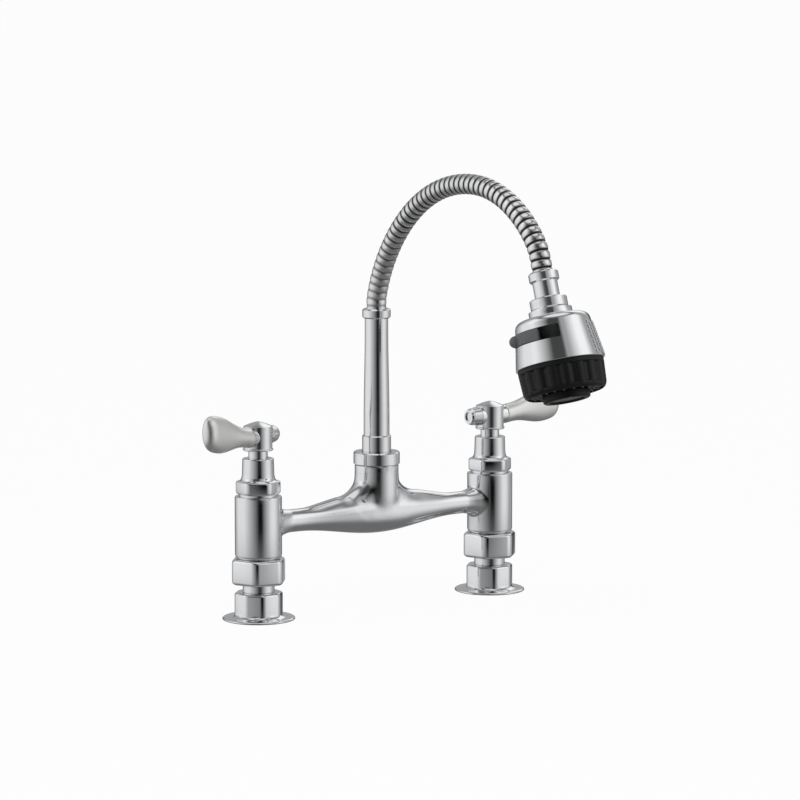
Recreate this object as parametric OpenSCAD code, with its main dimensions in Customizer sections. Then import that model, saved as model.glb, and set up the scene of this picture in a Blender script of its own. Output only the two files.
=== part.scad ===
// Deck-mounted bridge faucet: two lever valves on a cast bridge, a swivelling
// spout with a ribbed metal gooseneck, and a two-way spray head.
// Millimetres. +Z is up and z = 0 is the deck. X runs through both valves, and
// the spout points to -Y. The origin lies on the deck midway between the valves.

/* [Layout] */
// Distance between the two valve centres
centres = 203.2; // [190:0.1:230]
// Turn of the left handle from straight out, towards the front
left_turn = 22; // [0:1:60]
// Turn of the right handle from straight out, towards the front
right_turn = 0; // [0:1:60]

/* [Deck flange] */
// Diameter of the round flange
flange_d = 51.5; // [48:0.5:60]
// Thickness of the flange's rim
flange_rim = 1.8; // [1.6:0.2:3]
// Height of the octagonal base above the deck
base_h = 19.5; // [19:0.5:26]
// Octagon across its flats
base_af = 32.8; // [31:0.2:36]
// Hole of the female inlet thread
inlet_d = 18.6; // [16:0.1:20]
// Depth of the inlet thread
inlet_depth = 12; // [9:0.5:12]
// Waterway through flange, tailpiece and seat
water_d = 12; // [8:0.5:13]

/* [Union] */
// Outside diameter of the tailpiece
tail_d = 22.5; // [20:0.5:24]
// Tailpiece left showing between base and nut
tail_show = 6; // [3:0.5:12]
// Coupling nut across its flats
nut_af = 36; // [35:0.5:42]
// Height of the coupling nut
nut_h = 18; // [16:0.5:24]
// Thickness of the union washer
washer_t = 2; // [1:0.25:3]

/* [Valve body] */
// Outside diameter of the valve barrel
barrel_d = 33.2; // [32:0.2:38]
// Height of the valve barrel
barrel_h = 44.3; // [44:0.5:56]
// Height of the bridge's axis above the barrel's foot
arm_up = 24; // [22:0.5:26]
// Diameter of the cartridge chamber
chamber_d = 22; // [20:0.2:23]
// Thread bore for the bonnet
bonnet_thread_d = 25; // [24.5:0.1:26]

/* [Bridge] */
// Diameter of the slim part of the arms
arm_d = 15; // [13:0.2:17]
// Diameter of the belly under the spout
belly_d = 30; // [27:0.5:34]
// Half length over which the belly fades into the arms
belly_fade = 70; // [60:1:72]
// Diameter of the boss where an arm meets a barrel
boss_d = 24.5; // [21:0.5:26]
// Radius of the fillet between arm and boss
boss_fillet = 5; // [3:0.5:7]
// Radius of the hollow between an arm and the spout socket
saddle_r = 24; // [18:1:30]
// Outside diameter of the spout socket
socket_d = 31.5; // [30:0.5:34]
// Height of the socket's shoulder above the bridge's axis
socket_h = 34.5; // [30:0.5:40]
// Waterway inside the arms
arm_water_d = 8; // [6:0.5:9]

/* [Bonnet and stem] */
// Bonnet hexagon across its flats
bonnet_af = 28.8; // [28:0.2:32]
// Height of the bonnet hexagon
bonnet_hex_h = 9.4; // [7:0.1:12]
// Height of the hollow cone above the hexagon
bonnet_cone_h = 5.2; // [3:0.2:6]
// Height of the bonnet's round neck
bonnet_neck_h = 10.7; // [10:0.5:16]
// Diameter of the bonnet's neck
bonnet_neck_d = 22.2; // [20:0.2:24]
// Diameter of the stem
stem_d = 13.7; // [12:0.1:15]
// Stem left showing under the handle
stem_show = 5.5; // [3:0.5:9]

/* [Handle] */
// Diameter of the handle's hub
hub_d = 20.4; // [19.6:0.2:23]
// Height of the hub's wall
hub_h = 16.9; // [16.4:0.1:19]
// Height of the cone-shaped cap
cap_h = 3.6; // [2.4:0.2:6]
// Reach of the lever's tip from the stem's axis
lever_reach = 63; // [54:0.5:75]
// Height of the lever at its neck
lever_neck = 14.4; // [13.6:0.2:15]
// Height of the lever at its widest
lever_tall = 27.6; // [20:0.2:30]
// Thickness of the lever's paddle
lever_thick = 12.4; // [10:0.2:14]
// Upward tilt of the lever
lever_tilt = 9; // [0:0.5:12]
// Reach of the counter nub from the stem's axis
nub_reach = 19.8; // [17:0.1:26]
// Diameter of the nub's far end
nub_end_d = 11.6; // [10:0.2:13]

/* [Swivel and riser] */
// Outside diameter of the swivel nut
swivel_nut_d = 33.3; // [32:0.1:36]
// Height of the swivel nut
swivel_nut_h = 9.3; // [8.5:0.1:12]
// Diameter of the ferrule above the nut
ferrule_d = 20.8; // [20:0.2:23]
// Height of the ferrule above the nut
ferrule_h = 11.8; // [9:0.2:16]
// Spigot that turns in the socket
spigot_d = 19; // [17:0.1:20]
// Radial running clearance of the turning joints
run_gap = 0.06; // [0.03:0.01:0.09]
// Riser tube's diameter at its foot
riser_d0 = 18.6; // [17.6:0.1:19]
// Riser tube's diameter at its top
riser_d1 = 16.8; // [16.4:0.1:17.4]
// Height of the riser's top ring above the ferrule
riser_h = 84.1; // [60:0.5:140]
// Wall of the riser tube
riser_wall = 1.2; // [0.8:0.1:1.4]
// Diameter of the rings at both ends of the hose
ring_d = 20.4; // [19.8:0.2:22]
// Height of the rings
ring_h = 6.9; // [6.5:0.1:9]

/* [Gooseneck] */
// Outside diameter of the ribbed hose
hose_d = 14.2; // [13.8:0.1:15]
// Number of ribs
hose_ribs = 48; // [30:1:100]
// Depth of the groove between two ribs
rib_depth = 0.7; // [0.3:0.1:1]
// Forward reach of the arch's top
apex_reach = 112.8; // [100:0.2:130]
// Rise of the arch's top above the riser's top ring
apex_rise = 94.4; // [85:0.1:110]
// Forward reach of the spray head's ring
head_reach = 194.5; // [185:0.5:215]
// Height of the spray head's ring above the riser's top ring
head_rise = 36.5; // [30:0.5:50]
// Forward lean of the hose as it leaves the riser's top ring
hose_tilt = 12; // [0:1:15]
// Lean of the spray head outward from upright
head_lean = 18; // [10:1:25]

/* [Spray head] */
// Diameter of the neck under the hose ring
neck_d = 17; // [16:0.2:18]
// Length of that neck
neck_h = 11; // [8:0.5:14]
// Diameter of the head's swivel nut
head_nut_d = 25.4; // [24.6:0.2:27]
// Height of the head's swivel nut
head_nut_h = 7.6; // [6:0.1:9]
// Diameter of the collar on top of the bell
collar_d = 29.5; // [28.5:0.5:31]
// Height of that collar
collar_h = 4.6; // [3.8:0.1:6]
// Diameter of the bell's shoulder
shoulder_d = 51.4; // [47:0.5:54]
// Diameter of the bell's mouth
mouth_d = 60.6; // [57:0.2:66]
// Length of the bell from its shoulder to its mouth
bell_h = 27; // [25:0.5:34]
// Wall of the bell
bell_wall = 2; // [1.6:0.1:2.6]
// Diameter of the black grip ring at its foot
grip_d = 56.4; // [54:0.2:60]
// Height of the black grip ring
grip_h = 20; // [16:0.2:24]
// Number of hollows round the grip ring
grip_hollows = 18; // [12:1:24]
// Diameter of the outlet boss
outlet_d = 32; // [26:0.5:33]
// How far the outlet boss stands out
outlet_out = 4.5; // [2:0.5:6]
// Number of spray nozzles in each of the two rows
nozzles = 18; // [10:1:20]
// Angle that the diverter's thumb slide travels
slide_travel = 30; // [20:1:32]
// Height of the thumb slide
slide_h = 9; // [7:0.5:10]

/* [Hidden] */
$fn = 72;
eps = 0.01;
// Gap between pieces that are pushed or screwed together
fit_gap = 0.1;
// Gap between pieces that move past each other without touching
free_gap = 0.35;

// Heights of one valve post, from the deck up
nut_z = base_h + tail_show;
barrel_z = nut_z + nut_h;
arm_z = barrel_z + arm_up;
barrel_top = barrel_z + barrel_h;
bonnet_groove = 1.4;
hex_z = barrel_top + bonnet_groove;
cone_z = hex_z + bonnet_hex_h;
neck_z = cone_z + bonnet_cone_h;
bonnet_top = neck_z + bonnet_neck_h;
hub_z = bonnet_top + stem_show;
cap_z = hub_z + hub_h;

// Union: the nut's lip carries the tailpiece's collar, and the washer lies on it
nut_lip = 3;
collar_h_tail = 4;
tail_collar_z = nut_z + nut_lip;
washer_z = tail_collar_z + collar_h_tail;
spigot_z = washer_z + washer_t;
union_d = nut_af - 7.4;
tail_socket_z = base_h - 6;
tail_spigot_d = tail_d - 2.4;

// Cartridge: chamber floor, seal, discs and shell
chamber_z = arm_z - 12;
seal_t = 2;
disc_z = chamber_z + seal_t;
disc_t = 2.5;
disc_gap = 0.1;
moving_z = disc_z + disc_t + disc_gap;
driver_z = moving_z + disc_t;
skirt_z = barrel_top - 9.3;
shell_d = chamber_d - 2 * fit_gap;
disc_d = shell_d - 5.8;
disc_bore_d = disc_d + 2 * fit_gap;
driver_d = 9.9;
shell_roof_z = skirt_z - 4;
tang = [9.6, 3.6, 1.1];
stem_bore_d = stem_d + 2 * run_gap;
stem_flange_d = stem_d + 3.5;
stem_flange_z = hex_z + 1.3;
stem_flange_h = 3.5;
bonnet_cavity_d = stem_flange_d + 1.8;
stem_ring_z = neck_z + bonnet_neck_h / 2;
ring_cord = 1.8;

// Handle: lever axis, spline, screw and cap
lever_z = hub_z + 9.8;
hub_boss_d = lever_neck - 0.6;
lever_from = hub_d / 2 + 1.8;
nub_from = hub_d / 2 + 0.8;
spline_d = 7.9;
spline_top = hub_z + 9;
web_z = spline_top + 0.5;
web_t = 2;
screw_d = 4;
screw_head_d = 7.6;
screw_head_h = 2.6;
cap_seat_d = 12.1;
stud_d = 6.9;
stud_from = cap_seat_d / 2 + 0.7;

// Spout swivel
socket_top = arm_z + socket_h;
nose_h = swivel_nut_h - 5.3;
nose_d = swivel_nut_d - 4.9;
nose_top = socket_top + nose_h;
thrust_t = 1;
flange_z = nose_top + thrust_t + 0.3;
flange_h = 2;
swivel_top = socket_top + swivel_nut_h;
socket_bore_d = spigot_d + 2 * run_gap;
spigot_bottom = arm_z + 17;
spout_water_d = 12;
ferrule_flange_d = nose_d - 3.4;
lip_z = flange_z + flange_h + 0.3;
spout_ring_up = 5.5;
riser_seat_z = swivel_top + 1.2;
riser_z = swivel_top + ferrule_h;
ring_z = riser_z + riser_h;
ring_top = ring_z + ring_h;
riser_end = ring_z + ring_h - 4;
riser_bore_d = riser_d0 - 2 * riser_wall - 1.4;

// Hose: bore, liner and barbs
hose_bore_d = hose_d - 2 * rib_depth - 2.4;
liner_d = hose_bore_d - 0.8;
liner_bore_d = liner_d - 2.8;
barb_d = liner_bore_d - 0.8;
barb_water_d = barb_d - 1.8;
barb_len = 12;
hose_z = ring_z + ring_h - 3.4;

// Spray head: s runs along the head's own axis, from the hose ring down
head_at = [0, -head_reach, ring_z + head_rise + ring_h - 0.1];
ring_s = ring_h / 2;
nut_s = ring_s + neck_h;
collar_s = nut_s + head_nut_h + 0.4;
shoulder_s = collar_s + collar_h + 6.2;
mouth_s = shoulder_s + bell_h;
foot_s = mouth_s + grip_h;
head_spigot_d = neck_d - 2.2;
fitting_foot_s = collar_s + collar_h + 0.3;
fitting_foot_h = 2.4;
seal_s = fitting_foot_s + fitting_foot_h;
slide_s = shoulder_s + 2.8;
slide_from = 152;
slide_span = 62;
window_from = slide_from - slide_travel - 2;
window_span = slide_span + slide_travel + 4;
plate_s = foot_s - 3.2;
plate_t = 2;
mat_t = 1.6;
outlet_s = plate_s - mat_t - 2;
grip_wall = 2;
disc_s = slide_s + slide_h;

// Points on an arc, from angle a0 to a1
function arc(c, r, a0, a1, n = 8) =
    [for (i = [0 : n]) c + r * [cos(a0 + (a1 - a0) * i / n), sin(a0 + (a1 - a0) * i / n)]];

// A smooth step from 0 to 1
function ease(t) = let (u = min(max(t, 0), 1)) u * u * (3 - 2 * u);

// A solid ring or cylinder with both edges broken by a small chamfer
module turned(d, h, c = 0.5) {
    rotate_extrude()
        polygon([[0, 0], [d / 2 - c, 0], [d / 2, c], [d / 2, h - c], [d / 2 - c, h], [0, h]]);
}

// A bore that runs a little past both faces of what it cuts
module bore(d, z0, z1) {
    translate([0, 0, z0 - eps]) cylinder(d = d, h = z1 - z0 + 2 * eps);
}

// A nut's hexagon with its corners turned off at both ends
module turned_hex(af, h, turn) {
    corner_r = af / 2 / cos(30);
    drop = (corner_r - af / 2) * 0.8;
    intersection() {
        rotate([0, 0, turn]) cylinder(r = corner_r, h = h, $fn = 6);
        rotate_extrude()
            polygon([
                [0, 0], [af / 2 - 0.6, 0], [corner_r - 0.2, drop + 0.2],
                [corner_r - 0.2, h - drop - 0.2], [af / 2 - 0.6, h], [0, h]
            ]);
    }
}

// Left is side -1 and right is side 1
module at_valve(side) {
    translate([side * centres / 2, 0, 0]) children();
}

// A handle's frame: X runs out along the lever
module at_handle(side) {
    turn = side < 0 ? 180 + left_turn : -right_turn;
    at_valve(side) rotate([0, 0, turn]) children();
}

// The head's frame: Z runs down along its axis, X stays X and Y faces forward
module at_head() {
    translate(head_at) rotate([180 - head_lean, 0, 0]) children();
}

// Posts

module deck_flange(side) {
    octagon_r = base_af / 2 / cos(22.5);
    foot_r = flange_d / 2;
    color("gainsboro") at_valve(side) difference() {
        union() {
            rotate_extrude()
                polygon(concat(
                    [[0, 0], [foot_r - 0.7, 0], [foot_r, 0.7], [foot_r, flange_rim - 0.8]],
                    [[foot_r - 0.8, flange_rim], [foot_r - 2, flange_rim]],
                    [[foot_r - 4, flange_rim - 0.3]],
                    arc([base_af / 2 + 4, flange_rim + 3.7], 4, 270, 195, 6),
                    [[0, flange_rim + 4]]
                ));
            intersection() {
                translate([0, 0, 1])
                    rotate([0, 0, 22.5]) cylinder(r = octagon_r, h = base_h - 1, $fn = 8);
                turned(2 * octagon_r + 0.2, base_h, 1.3);
            }
        }
        bore(inlet_d, 0, inlet_depth);
        bore(water_d, inlet_depth - 1, base_h);
        bore(tail_spigot_d + 2 * fit_gap, tail_socket_z, base_h);
    }
}

module tailpiece(side) {
    color("silver") at_valve(side) difference() {
        union() {
            translate([0, 0, tail_socket_z]) turned(tail_spigot_d, base_h - tail_socket_z + 1);
            translate([0, 0, base_h]) turned(tail_d, tail_collar_z - base_h + 0.5, 0.4);
            translate([0, 0, tail_collar_z]) turned(union_d - 0.6, collar_h_tail);
        }
        bore(water_d, tail_socket_z, washer_z);
    }
}

module union_washer(side) {
    color("dimgray") at_valve(side) difference() {
        translate([0, 0, washer_z]) cylinder(d = union_d - 1, h = washer_t);
        bore(water_d + 1, washer_z, spigot_z);
    }
}

module coupling_nut(side) {
    turn = side < 0 ? -130 : -137;
    color("gainsboro") at_valve(side) difference() {
        translate([0, 0, nut_z]) turned_hex(nut_af, nut_h, turn);
        bore(tail_d + 2 * fit_gap, nut_z, tail_collar_z);
        bore(union_d + 2 * fit_gap, tail_collar_z, barrel_z);
    }
}

// The bridge: two barrels, two arms with a belly, and the spout socket, in one casting

// Radius of the arms at a distance from the spout's axis
function arm_r(x) = arm_d / 2 + (belly_d - arm_d) / 2 * (0.5 + 0.5 * cos(180 * min(x / belly_fade, 1)));

module arm_outline() {
    wall_x = centres / 2 - barrel_d / 2;
    rise = (boss_d - arm_d) / 2;
    start_x = wall_x - 1.2 * boss_fillet;
    steps = 24;
    polygon(concat(
        [[0, 0]],
        [for (i = [0 : steps]) let (x = start_x * i / steps) [arm_r(x), x]],
        [for (i = [1 : 8]) [arm_d / 2 + rise * (1 - cos(90 * i / 8)), start_x + boss_fillet * sin(90 * i / 8)]],
        [[boss_d / 2, centres / 2 - 8], [0, centres / 2 - 8]]
    ));
}

// The elbow that carries an arm's back up into the socket, then fades along the arm
module saddle() {
    tube_r = arm_r(saddle_r + 11) - 0.1;
    bend_r = saddle_r + tube_r;
    lift = 1.6;
    fade = 30;
    lean = atan(lift / fade);
    translate([bend_r, 0, arm_z + lift + bend_r]) rotate([90, 0, 0])
        rotate([0, 0, 180]) rotate_extrude(angle = 90)
            translate([bend_r, 0]) circle(r = tube_r);
    translate([bend_r - 1, 0, arm_z + lift]) rotate([0, 90 + lean, 0])
        cylinder(r1 = tube_r - 0.1, r2 = arm_d / 2 - 0.4, h = fade + 1);
}

module barrel() {
    translate([0, 0, spigot_z]) cylinder(d = union_d, h = barrel_z - spigot_z + 1);
    translate([0, 0, barrel_z])
        rotate_extrude()
            polygon(concat(
                [[0, 0], [barrel_d / 2 - 2.2, 0]],
                arc([barrel_d / 2 - 3, 3], 3, -50, 0, 5),
                arc([barrel_d / 2 - 1, barrel_h - 1], 1, 0, 90, 4),
                [[0, barrel_h]]
            ));
}

module socket() {
    translate([0, 0, arm_z])
        rotate_extrude()
            polygon(concat(
                [[0, 0], [socket_d / 2 - 0.4, 0], [socket_d / 2, 12]],
                arc([socket_d / 2 - 0.8, socket_h - 0.8], 0.8, 0, 90, 3),
                [[nose_d / 2, socket_h], [nose_d / 2, socket_h + nose_h], [0, socket_h + nose_h]]
            ));
}

module bridge_body() {
    color("gainsboro") difference() {
        union() {
            for (side = [-1, 1]) at_valve(side) barrel();
            for (side = [-1, 1])
                translate([0, 0, arm_z]) rotate([0, 90 * side, 0]) rotate_extrude() arm_outline();
            for (side = [0, 1]) rotate([0, 0, 180 * side]) saddle();
            socket();
        }
        for (side = [-1, 1]) at_valve(side) {
            bore(water_d, spigot_z, chamber_z);
            bore(chamber_d, chamber_z, skirt_z);
            bore(bonnet_thread_d, skirt_z, barrel_top);
        }
        translate([-centres / 2, 0, arm_z]) rotate([0, 90, 0]) cylinder(d = arm_water_d, h = centres);
        bore(spout_water_d, arm_z, spigot_bottom);
        bore(socket_bore_d, spigot_bottom, nose_top);
    }
}

// Valves

module seat_seal(side) {
    color("dimgray") at_valve(side) difference() {
        translate([0, 0, chamber_z]) cylinder(d = shell_d - 0.4, h = seal_t);
        bore(water_d + 0.4, chamber_z, disc_z);
    }
}

module cartridge_shell(side) {
    color("wheat") at_valve(side) difference() {
        translate([0, 0, disc_z]) turned(shell_d, skirt_z - disc_z, 0.4);
        bore(disc_bore_d, disc_z, shell_roof_z);
        bore(driver_d + 2 * run_gap, shell_roof_z, skirt_z);
        translate([-chamber_d, 0, arm_z]) rotate([0, 90, 0]) cylinder(d = arm_water_d, h = 2 * chamber_d);
    }
}

// The two openings that a pair of ceramic discs opens and shuts
module disc_ports(z0, z1) {
    for (a = [0, 180]) rotate([0, 0, a])
        translate([0, 0, z0 - eps]) rotate([0, 0, -35]) rotate_extrude(angle = 70)
            translate([disc_d / 2 - 5.4, 0]) square([3.6, z1 - z0 + 2 * eps]);
}

module fixed_disc(side) {
    color("whitesmoke") at_valve(side) difference() {
        translate([0, 0, disc_z]) cylinder(d = disc_d, h = disc_t);
        rotate([0, 0, 90]) disc_ports(disc_z, disc_z + disc_t);
    }
}

module moving_disc(side) {
    color("white") at_handle(side) difference() {
        translate([0, 0, moving_z]) cylinder(d = disc_d - 0.1, h = disc_t);
        rotate([0, 0, 90]) disc_ports(moving_z, driver_z);
        translate([-tang.x / 2 - fit_gap, -tang.y / 2 - fit_gap, driver_z - tang.z - fit_gap])
            cube([tang.x + 2 * fit_gap, tang.y + 2 * fit_gap, tang.z + 1]);
    }
}

module bonnet(side) {
    turn = side < 0 ? -152 : -146;
    color("gainsboro") at_valve(side) difference() {
        union() {
            translate([0, 0, skirt_z]) turned(bonnet_thread_d - 2 * fit_gap, barrel_top - skirt_z + 1);
            translate([0, 0, barrel_top]) cylinder(d = bonnet_af - 1.6, h = bonnet_groove + 0.5);
            translate([0, 0, hex_z]) turned_hex(bonnet_af, bonnet_hex_h, turn);
            translate([0, 0, cone_z - 0.5])
                rotate_extrude()
                    polygon(concat(
                        [[0, 0], [bonnet_af / 2 - 0.9, 0], [bonnet_af / 2 - 0.9, 0.5]],
                        [for (i = [1 : 6]) let (t = i / 6) [
                            bonnet_neck_d / 2 + 0.3 + (bonnet_af / 2 - 1.2 - bonnet_neck_d / 2) * (1 - sin(90 * t)),
                            0.5 + bonnet_cone_h * (1 - cos(90 * t))
                        ]],
                        [[bonnet_neck_d / 2, bonnet_cone_h + bonnet_neck_h - 0.2]],
                        [[bonnet_neck_d / 2 - 0.7, bonnet_cone_h + bonnet_neck_h + 0.5]],
                        [[0, bonnet_cone_h + bonnet_neck_h + 0.5]]
                    ));
        }
        bore(bonnet_cavity_d, skirt_z, stem_flange_z + stem_flange_h + 0.3);
        bore(stem_bore_d, stem_flange_z, bonnet_top);
    }
}

module stem(side) {
    color("silver") at_handle(side) difference() {
        union() {
            translate([-tang.x / 2, -tang.y / 2, driver_z - tang.z]) cube([tang.x, tang.y, tang.z + 1]);
            translate([0, 0, driver_z]) cylinder(d = driver_d, h = stem_flange_z - driver_z + 0.5);
            translate([0, 0, stem_flange_z]) turned(stem_flange_d, stem_flange_h, 0.4);
            translate([0, 0, stem_flange_z + 1]) cylinder(d = stem_d, h = hub_z - stem_flange_z - 1);
            translate([0, 0, hub_z - 0.5]) turned(spline_d, spline_top - hub_z + 0.5);
        }
        bore(screw_d + 0.1, hub_z, spline_top);
        translate([0, 0, stem_ring_z - ring_cord / 2 - 0.1]) difference() {
            cylinder(d = stem_d + 2, h = ring_cord + 0.2);
            bore(stem_d - 2 * ring_cord, 0, ring_cord + 0.2);
        }
    }
}

module stem_ring(side) {
    color("black") at_valve(side) translate([0, 0, stem_ring_z])
        rotate_extrude() translate([stem_d / 2 - ring_cord / 2, 0]) circle(d = ring_cord - 0.05);
}

// Handles

module handle_hub(side) {
    color("gainsboro") at_handle(side) difference() {
        union() {
            translate([0, 0, hub_z])
                rotate_extrude()
                    polygon(concat(
                        [[0, 0], [hub_d / 2 + 0.1, 0], [hub_d / 2 + 0.5, 0.5], [hub_d / 2 + 0.5, 1.2]],
                        arc([hub_d / 2 + 0.6, 1.9], 0.7, 260, 180, 4),
                        [[hub_d / 2, hub_h], [0, hub_h]]
                    ));
            translate([-nub_from, 0, lever_z]) rotate([0, 90, 0])
                cylinder(d = hub_boss_d, h = nub_from + lever_from);
        }
        bore(spline_d + 2 * fit_gap, hub_z, web_z);
        bore(screw_d + 0.4, web_z, web_z + web_t);
        bore(cap_seat_d, web_z + web_t, cap_z + 2);
        for (end = [[0, lever_from], [180, nub_from]]) rotate([0, 0, end[0]])
            translate([stud_from, 0, lever_z]) rotate([0, 90, 0])
                cylinder(d = stud_d + 2 * fit_gap, h = end[1] - stud_from + eps);
    }
}

module handle_screw(side) {
    head_z = web_z + web_t;
    color("darkgray") at_valve(side) difference() {
        union() {
            translate([0, 0, hub_z + 1.5]) turned(screw_d, head_z - hub_z - 1, 0.3);
            translate([0, 0, head_z]) turned(screw_head_d, screw_head_h, 0.4);
        }
        translate([0, 0, head_z + 0.9]) cylinder(d = 3.6, h = screw_head_h, $fn = 6);
    }
}

module hub_cap(side) {
    color("gainsboro") at_valve(side) difference() {
        union() {
            translate([0, 0, cap_z])
                rotate_extrude()
                    polygon(concat(
                        [[0, 0], [hub_d / 2 - 0.1, 0], [hub_d / 2 - 0.1, 0.25]],
                        [for (t = [1, 0.85, 0.7, 0.55, 0.4, 0.25, 0.12, 0])
                            [(hub_d / 2 - 0.5) * t, 0.4 + (cap_h - 0.4) * (1 - pow(t, 1.35))]]
                    ));
            translate([0, 0, web_z + web_t + 0.8])
                turned(cap_seat_d - 2 * fit_gap, cap_z - web_z - web_t - 0.8 + 0.6, 0.3);
        }
        bore(screw_head_d + 1, web_z + web_t, web_z + web_t + screw_head_h + 0.4);
    }
}

// Half height and half thickness of the lever's paddle at a distance from the stem
function lever_half_h(x) =
    let (widest = lever_reach - 15, grow = ease((x - lever_from - 8) / (widest - lever_from - 8)))
    let (full = lever_neck / 2 + (lever_tall - lever_neck) / 2 * grow)
    let (e = max(0, (x - widest) / (lever_reach - widest)))
    full * pow(max(0, 1 - pow(e, 3)), 1 / 2.3);

function lever_half_t(x) =
    let (full = lever_neck / 2 + (lever_thick - lever_neck) / 2 * ease((x - lever_from) / 25))
    let (blunt = lever_thick / 2, e = max(0, (x - lever_reach + blunt) / blunt))
    full * sqrt(max(0, 1 - e * e));

// One section of the paddle: round at the neck, squarer along the blade
function lever_section(x, sides) =
    let (power = 2 + 0.5 * ease((x - lever_from) / 20))
    let (lift = (x - lever_from) * tan(lever_tilt))
    [for (k = [0 : sides - 1]) let (a = 360 * (k + 0.5) / sides, c = cos(a), s = sin(a)) [
        x,
        lever_half_t(x) * sign(c) * pow(abs(c), 2 / power),
        lift + lever_half_h(x) * sign(s) * pow(abs(s), 2 / power)
    ]];

module lever(side) {
    sides = 20;
    steps = 16;
    blade = lever_reach - lever_from - 0.05;
    stations = [for (i = [0 : steps]) lever_from + blade * sin(90 * i / steps)];
    points = [for (x = stations) each lever_section(x, sides)];
    faces = concat(
        [[for (k = [0 : sides - 1]) k]],
        [for (i = [0 : steps - 1], k = [0 : sides - 1])
            let (a = i * sides + k, b = i * sides + (k + 1) % sides) [a, a + sides, b]],
        [for (i = [0 : steps - 1], k = [0 : sides - 1])
            let (a = i * sides + k, b = i * sides + (k + 1) % sides) [b, a + sides, b + sides]],
        [[for (k = [sides - 1 : -1 : 0]) steps * sides + k]]
    );
    color("whitesmoke") at_handle(side) union() {
        translate([0, 0, lever_z]) polyhedron(points, faces);
        translate([stud_from + 0.2, 0, lever_z]) rotate([0, 90, 0])
            cylinder(d = stud_d, h = lever_from - stud_from + 3);
    }
}

module lever_nub(side) {
    length = nub_reach - nub_from;
    color("gainsboro") at_handle(side) rotate([0, 0, 180])
        translate([nub_from, 0, lever_z]) rotate([0, 90, 0]) difference() {
            union() {
                rotate_extrude()
                    polygon([
                        [0, 0], [hub_boss_d / 2 - 0.2, 0], [hub_boss_d / 2 + 0.1, 0.4],
                        [nub_end_d / 2 + 0.3, length - 2.4], [nub_end_d / 2 - 0.3, length - 2],
                        [nub_end_d / 2 - 0.3, length - 1.6], [nub_end_d / 2, length - 1.4],
                        [nub_end_d / 2 - 0.7, length], [0, length]
                    ]);
                translate([0, 0, stud_from + 0.2 - nub_from])
                    cylinder(d = stud_d, h = nub_from - stud_from + 1);
            }
            translate([0, 0, length - 1]) cylinder(d = nub_end_d - 4.4, h = 2);
        }
}

// Spout swivel and riser

module swivel_nut() {
    color("gainsboro") difference() {
        translate([0, 0, socket_top]) turned(swivel_nut_d, swivel_nut_h, 0.8);
        bore(nose_d + 2 * fit_gap, socket_top, lip_z);
        bore(ferrule_d + 2 * free_gap, lip_z, swivel_top);
    }
}

module thrust_washer() {
    color("white") difference() {
        translate([0, 0, nose_top]) cylinder(d = nose_d - 0.4, h = thrust_t);
        bore(spigot_d + 1, nose_top, nose_top + thrust_t);
    }
}

spout_ring_zs = [spigot_bottom + spout_ring_up, spigot_bottom + 2 * spout_ring_up];

module spout_ferrule() {
    color("gainsboro") difference() {
        union() {
            translate([0, 0, spigot_bottom + 1]) turned(spigot_d, flange_z - spigot_bottom);
            translate([0, 0, flange_z]) turned(ferrule_flange_d, flange_h, 0.2);
            translate([0, 0, flange_z + 1])
                turned(ferrule_d, riser_z - flange_z - 1, 0.7);
        }
        bore(spout_water_d, spigot_bottom, riser_z);
        bore(riser_d0 + 2 * fit_gap, riser_seat_z, riser_z);
        for (z = spout_ring_zs) translate([0, 0, z - ring_cord / 2 - 0.1]) difference() {
            cylinder(d = spigot_d + 2, h = ring_cord + 0.2);
            bore(spigot_d - 2 * ring_cord, 0, ring_cord + 0.2);
        }
    }
}

module spout_ring(z) {
    color("black") translate([0, 0, z])
        rotate_extrude() translate([spigot_d / 2 - ring_cord / 2, 0]) circle(d = ring_cord - 0.05);
}

module riser_tube() {
    color("gainsboro") difference() {
        union() {
            translate([0, 0, riser_seat_z]) cylinder(d = riser_d0, h = riser_z - riser_seat_z);
            translate([0, 0, riser_z])
                rotate_extrude()
                    polygon(concat(
                        [[0, 0], [riser_d0 / 2, 0]],
                        [for (t = [0.2 : 0.1 : 0.9]) [
                            riser_d0 / 2 - (riser_d0 - riser_d1) / 2 * ease((t - 0.1) / 0.8), riser_h * t
                        ]],
                        [[riser_d1 / 2, riser_end - riser_z], [0, riser_end - riser_z]]
                    ));
        }
        bore(riser_bore_d, riser_seat_z, riser_end);
    }
}

module riser_top_ring() {
    color("gainsboro") difference() {
        translate([0, 0, ring_z]) turned(ring_d, ring_h, 1);
        bore(riser_d1 + 2 * fit_gap, ring_z, riser_end);
        bore(hose_d + 2 * fit_gap, riser_end, ring_top);
    }
}

module hose_barb() {
    plug_z = riser_end - 5;
    color("darkkhaki") difference() {
        union() {
            translate([0, 0, plug_z]) turned(riser_bore_d - 2 * fit_gap, 3, 0.3);
            translate([0, 0, plug_z + 1]) cylinder(d = barb_d, h = barb_len);
        }
        bore(barb_water_d, plug_z, plug_z + barb_len + 1);
    }
}

// Gooseneck

// Directions at the hose's far end: the head's axis, and a point one diameter before it
head_down = [0, -sin(head_lean), -cos(head_lean)];
hose_start = [0, 0, hose_z];
hose_end = head_at - head_down * (ring_s - 3.4);
bend_start = hose_start + [0, 0, hose_d * 0.7];
bend_end = hose_end - head_down * hose_d;
apex = [0, -apex_reach, ring_top + apex_rise];

function bezier(p, t) =
    p[0] * pow(1 - t, 3) + 3 * p[1] * t * pow(1 - t, 2) + 3 * p[2] * t * t * (1 - t) + p[3] * pow(t, 3);

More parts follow.
